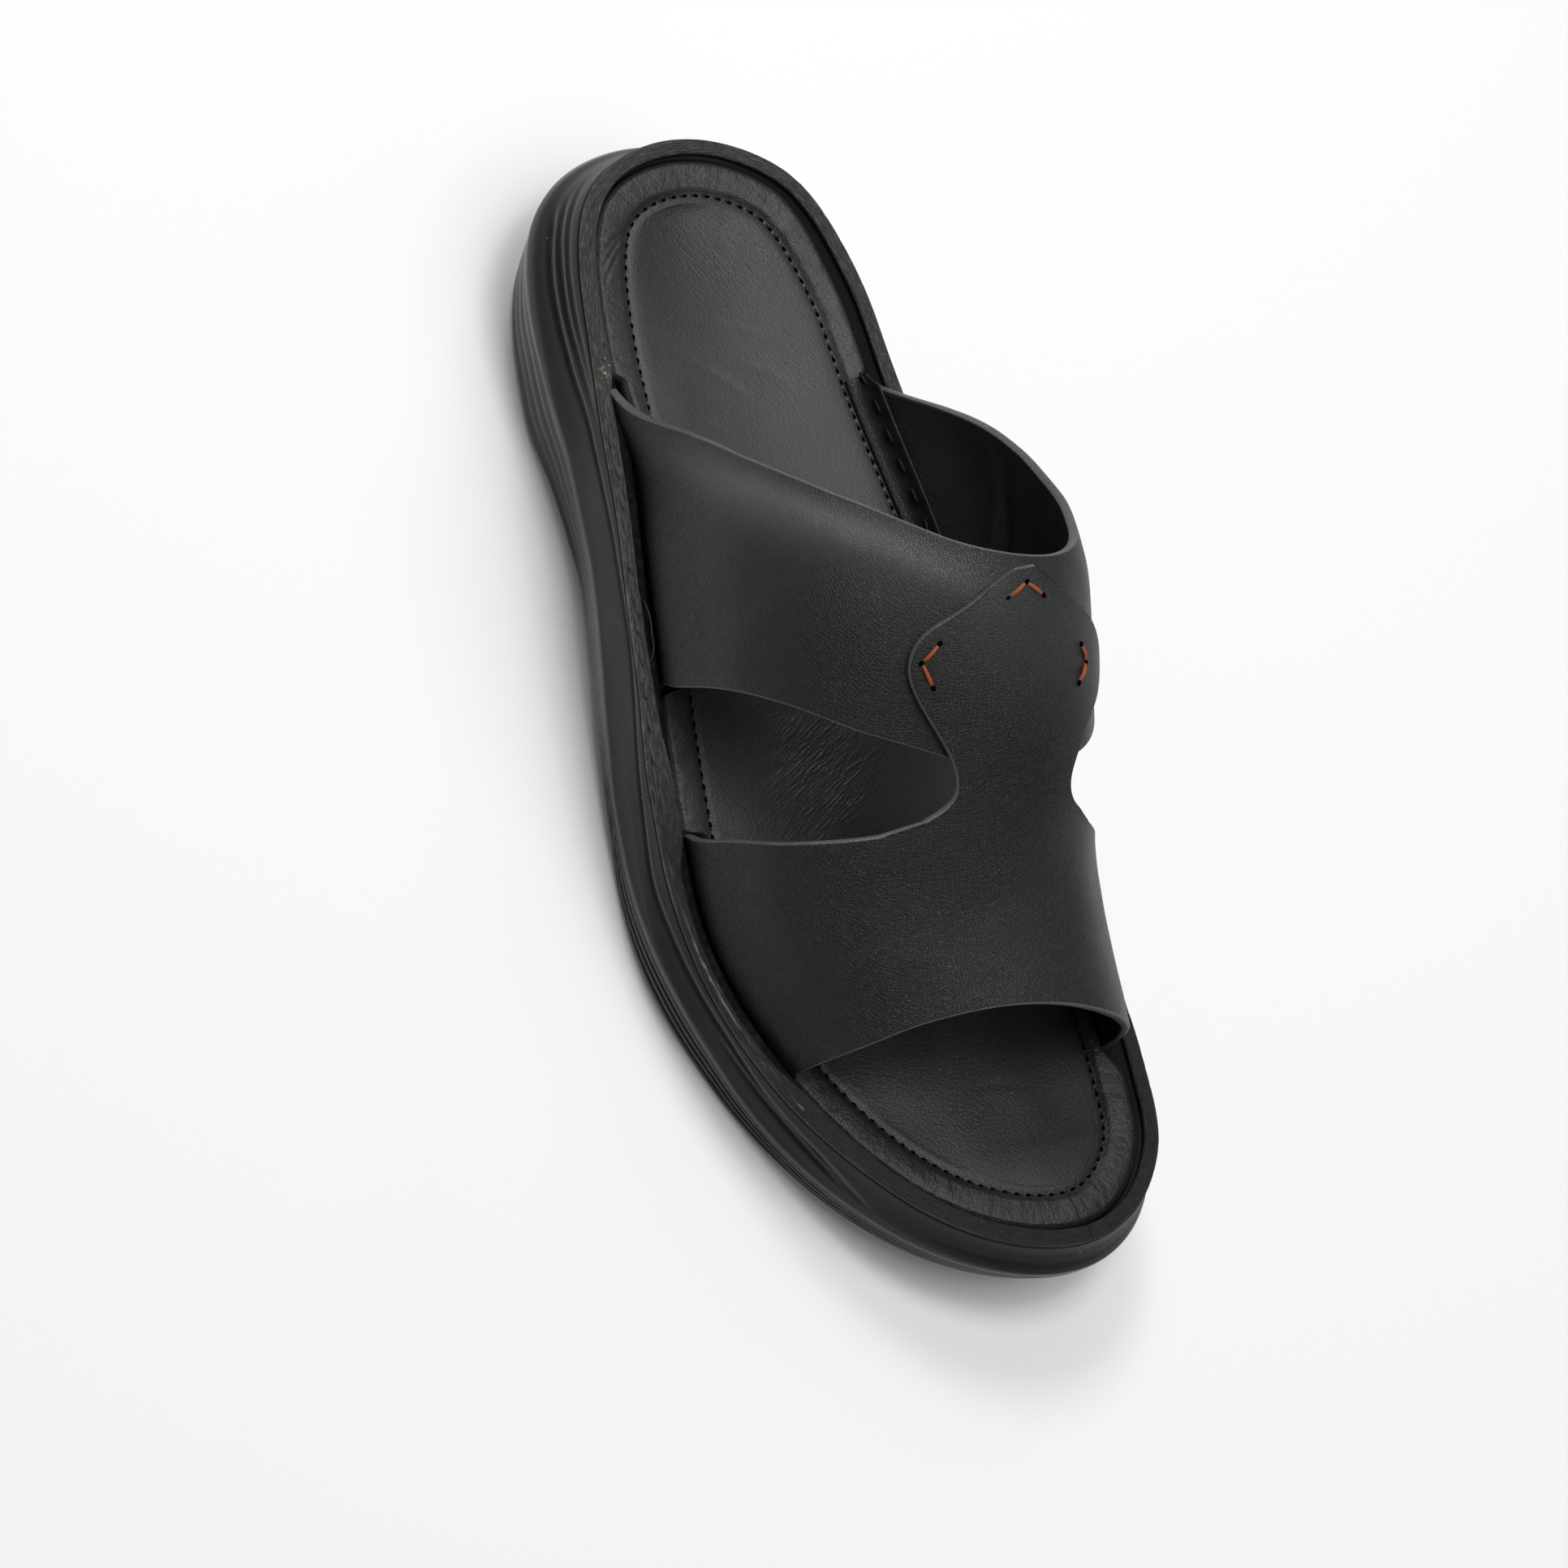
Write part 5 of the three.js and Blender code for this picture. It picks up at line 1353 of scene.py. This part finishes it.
# Ornament of the tab. Three V stitches of orange waxed thread, each of two short strands that come out of
# oval holes and meet in a third one.
V_STITCHES = [
    ((0.5120, 0.4965), (0.5047, 0.5230), (0.5160, 0.5475)),
    ((0.5295, 0.4145), (0.5385, 0.3970), (0.5585, 0.4065)),
    ((0.5545, 0.6215), (0.5670, 0.6325), (0.5820, 0.6145)),
]
STRAND_RADIUS = 0.48
STRAND_ARCH = 0.42
STRAND_SINK = 0.30
STRAND_INSET = 0.06
STRAND_SIDES = 12
STRAND_POINTS = 16
# The holes are flat dark ovals over the tab: painted shade of the holes
HOLE_SIZE = (1.6, 1.15, 0.8)
HOLE_LIFT = 0.08
BALL_SIDES = 12
BALL_ROWS_ROUND = 5


def on_tab(along, across, height):
    """Points over the tab's face, at a height in mm."""
    along, across = np.atleast_1d(along), np.atleast_1d(across)
    lift = lap_lift(along, across) + STRAP_THICKNESS + height
    return strap_point(along, across, 0 * along, lift)


def tube_mesh(path, radius, sides, narrow=0.55):
    """Points and faces of a closed tube along a path, narrower towards its ends."""
    ahead = np.gradient(path, axis=0)
    ahead /= np.linalg.norm(ahead, axis=1, keepdims=True)
    level = np.cross(ahead, (0.13, 0.21, 1.0))
    level /= np.linalg.norm(level, axis=1, keepdims=True)
    over = np.cross(level, ahead)
    share = np.linspace(0, 1, len(path))
    girth = radius * mix(narrow, 1.0, np.sin(math.pi * share) ** 0.5)
    angle = np.arange(sides) * 2 * math.pi / sides
    rings = path[:, None] + girth[:, None, None] * (
        np.cos(angle)[None, :, None] * level[:, None] + np.sin(angle)[None, :, None] * over[:, None])
    faces = ring_faces(len(path), sides)
    faces += [list(range(sides)), list(range((len(path) - 1) * sides, len(path) * sides))]
    return rings.reshape(-1, 3), faces


def ball_mesh(centre, ahead, up, size):
    """Points and faces of a flattened ball, turned to a surface."""
    ahead = ahead / np.linalg.norm(ahead)
    up = up / np.linalg.norm(up)
    level = np.cross(up, ahead)
    tilt = np.linspace(0, math.pi, BALL_ROWS_ROUND + 2)[1:-1]
    angle = np.arange(BALL_SIDES) * 2 * math.pi / BALL_SIDES
    rings = [np.outer(np.sin(t) * np.cos(angle), ahead) * size[0] / 2
             + np.outer(np.sin(t) * np.sin(angle), level) * size[1] / 2 + math.cos(t) * up * size[2] / 2
             for t in tilt]
    points = np.concatenate(rings + [[up * size[2] / 2], [-up * size[2] / 2]]) + centre
    faces = ring_faces(len(rings), BALL_SIDES)
    top, foot = len(points) - 2, len(points) - 1
    last_ring = (len(rings) - 1) * BALL_SIDES
    for k in range(BALL_SIDES):
        faces.append([(k + 1) % BALL_SIDES, k, top])
        faces.append([last_ring + k, last_ring + (k + 1) % BALL_SIDES, foot])
    return points, faces


def joined(parts):
    """Several meshes as one."""
    points, faces, start = [], [], 0
    for part_points, part_faces in parts:
        points.append(part_points)
        faces += [[start + i for i in face] for face in part_faces]
        start += len(part_points)
    return np.concatenate(points), faces


strands, holes = [], []
for places in V_STITCHES:
    for (a_along, a_across), (b_along, b_across) in (places[:2], places[1:]):
        rise = np.sin(np.linspace(0, math.pi, STRAND_POINTS)).clip(0) ** 0.6
        arch = (STRAND_ARCH + STRAND_SINK) * rise - STRAND_SINK
        share = np.linspace(STRAND_INSET, 1 - STRAND_INSET, STRAND_POINTS)
        path = on_tab(mix(a_along, b_along, share), mix(a_across, b_across, share), arch)
        strands.append(tube_mesh(path, STRAND_RADIUS, STRAND_SIDES))
    for (along, across), (to_along, to_across) in zip(places, (places[1], places[0], places[1])):
        centre = on_tab(along, across, HOLE_LIFT)[0]
        up = on_tab(along, across, 1.0)[0] - centre
        ahead = on_tab(to_along, to_across, 0.0)[0] - centre
        holes.append(ball_mesh(centre - 0.02 * ahead, ahead, up, HOLE_SIZE))
v_stitches = make_piece("v_stitches", *joined(strands), [orange_thread])
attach(v_stitches, "root")
# Flat dark ovals standing for the holes: painted shade
v_holes = make_piece("v_stitch_holes", *joined(holes), [hole_painted_shade])
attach(v_holes, "root")


# Small leavings of the making. A loose thread end stands up from the welt beside the rear strap, and drops
# of dried cement sit where the strap goes in.
LOOSE_THREAD = [
    (0.388, 0.34, 0.2), (0.395, 0.28, 1.0), (0.406, 0.24, 1.5), (0.418, 0.25, 1.4), (0.429, 0.23, 1.2),
    (0.436, 0.34, 0.8), (0.440, 0.46, 0.2),
]
DROP_COUNT = 70
DROP_PLACE, DROP_SPREAD = (0.1815, 0.60), (0.0065, 0.17)
DROP_SIZES = (0.12, 0.62)
DROP_HEIGHT = 0.28
loose_curves = curves([(k, *row) for k, row in enumerate(LOOSE_THREAD)], steady=False)
loose_along, loose_share, loose_rise = (
    curve(np.linspace(0, len(LOOSE_THREAD) - 1, 60)) for curve in loose_curves)
loose_path = strip_point(-turn_at(loose_along), loose_share, -loose_rise)
loose_thread = make_piece("loose_thread", *tube_mesh(loose_path, 0.17, 8, narrow=0.9), [grey_thread])
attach(loose_thread, "root")

dried_cement, cement_shader = material_of("dried_cement", (0.22, 0.21, 0.17), 0.25)
tree = dried_cement.node_tree
cloudy = noise(tree, object_place(tree), 1800.0, 2.0)
feed(cement_shader, {"Base Color": blend(tree, cloudy, (0.10, 0.095, 0.08), (0.34, 0.33, 0.27))})
drop_parts = []
for along, share, size, turned in np.random.default_rng(12).normal(size=(DROP_COUNT, 4)):
    turn = -turn_at(np.array([DROP_PLACE[0] + DROP_SPREAD[0] * along]))
    share = np.clip(DROP_PLACE[1] + DROP_SPREAD[1] * share, 0.05, 0.93)
    size = mix(*DROP_SIZES, min(abs(size) / 2, 1.0) ** 2)
    centre = strip_point(turn, share, strip_drop(turn, share))[0]
    ahead = np.array([math.sin(turned), math.cos(turned), 0.0])
    drop_parts.append(ball_mesh(centre, ahead, np.array([0.0, 0.0, 1.0]), (1.6 * size, size, DROP_HEIGHT)))
drops = make_piece("cement_drops", *joined(drop_parts), [dried_cement])
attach(drops, "root")
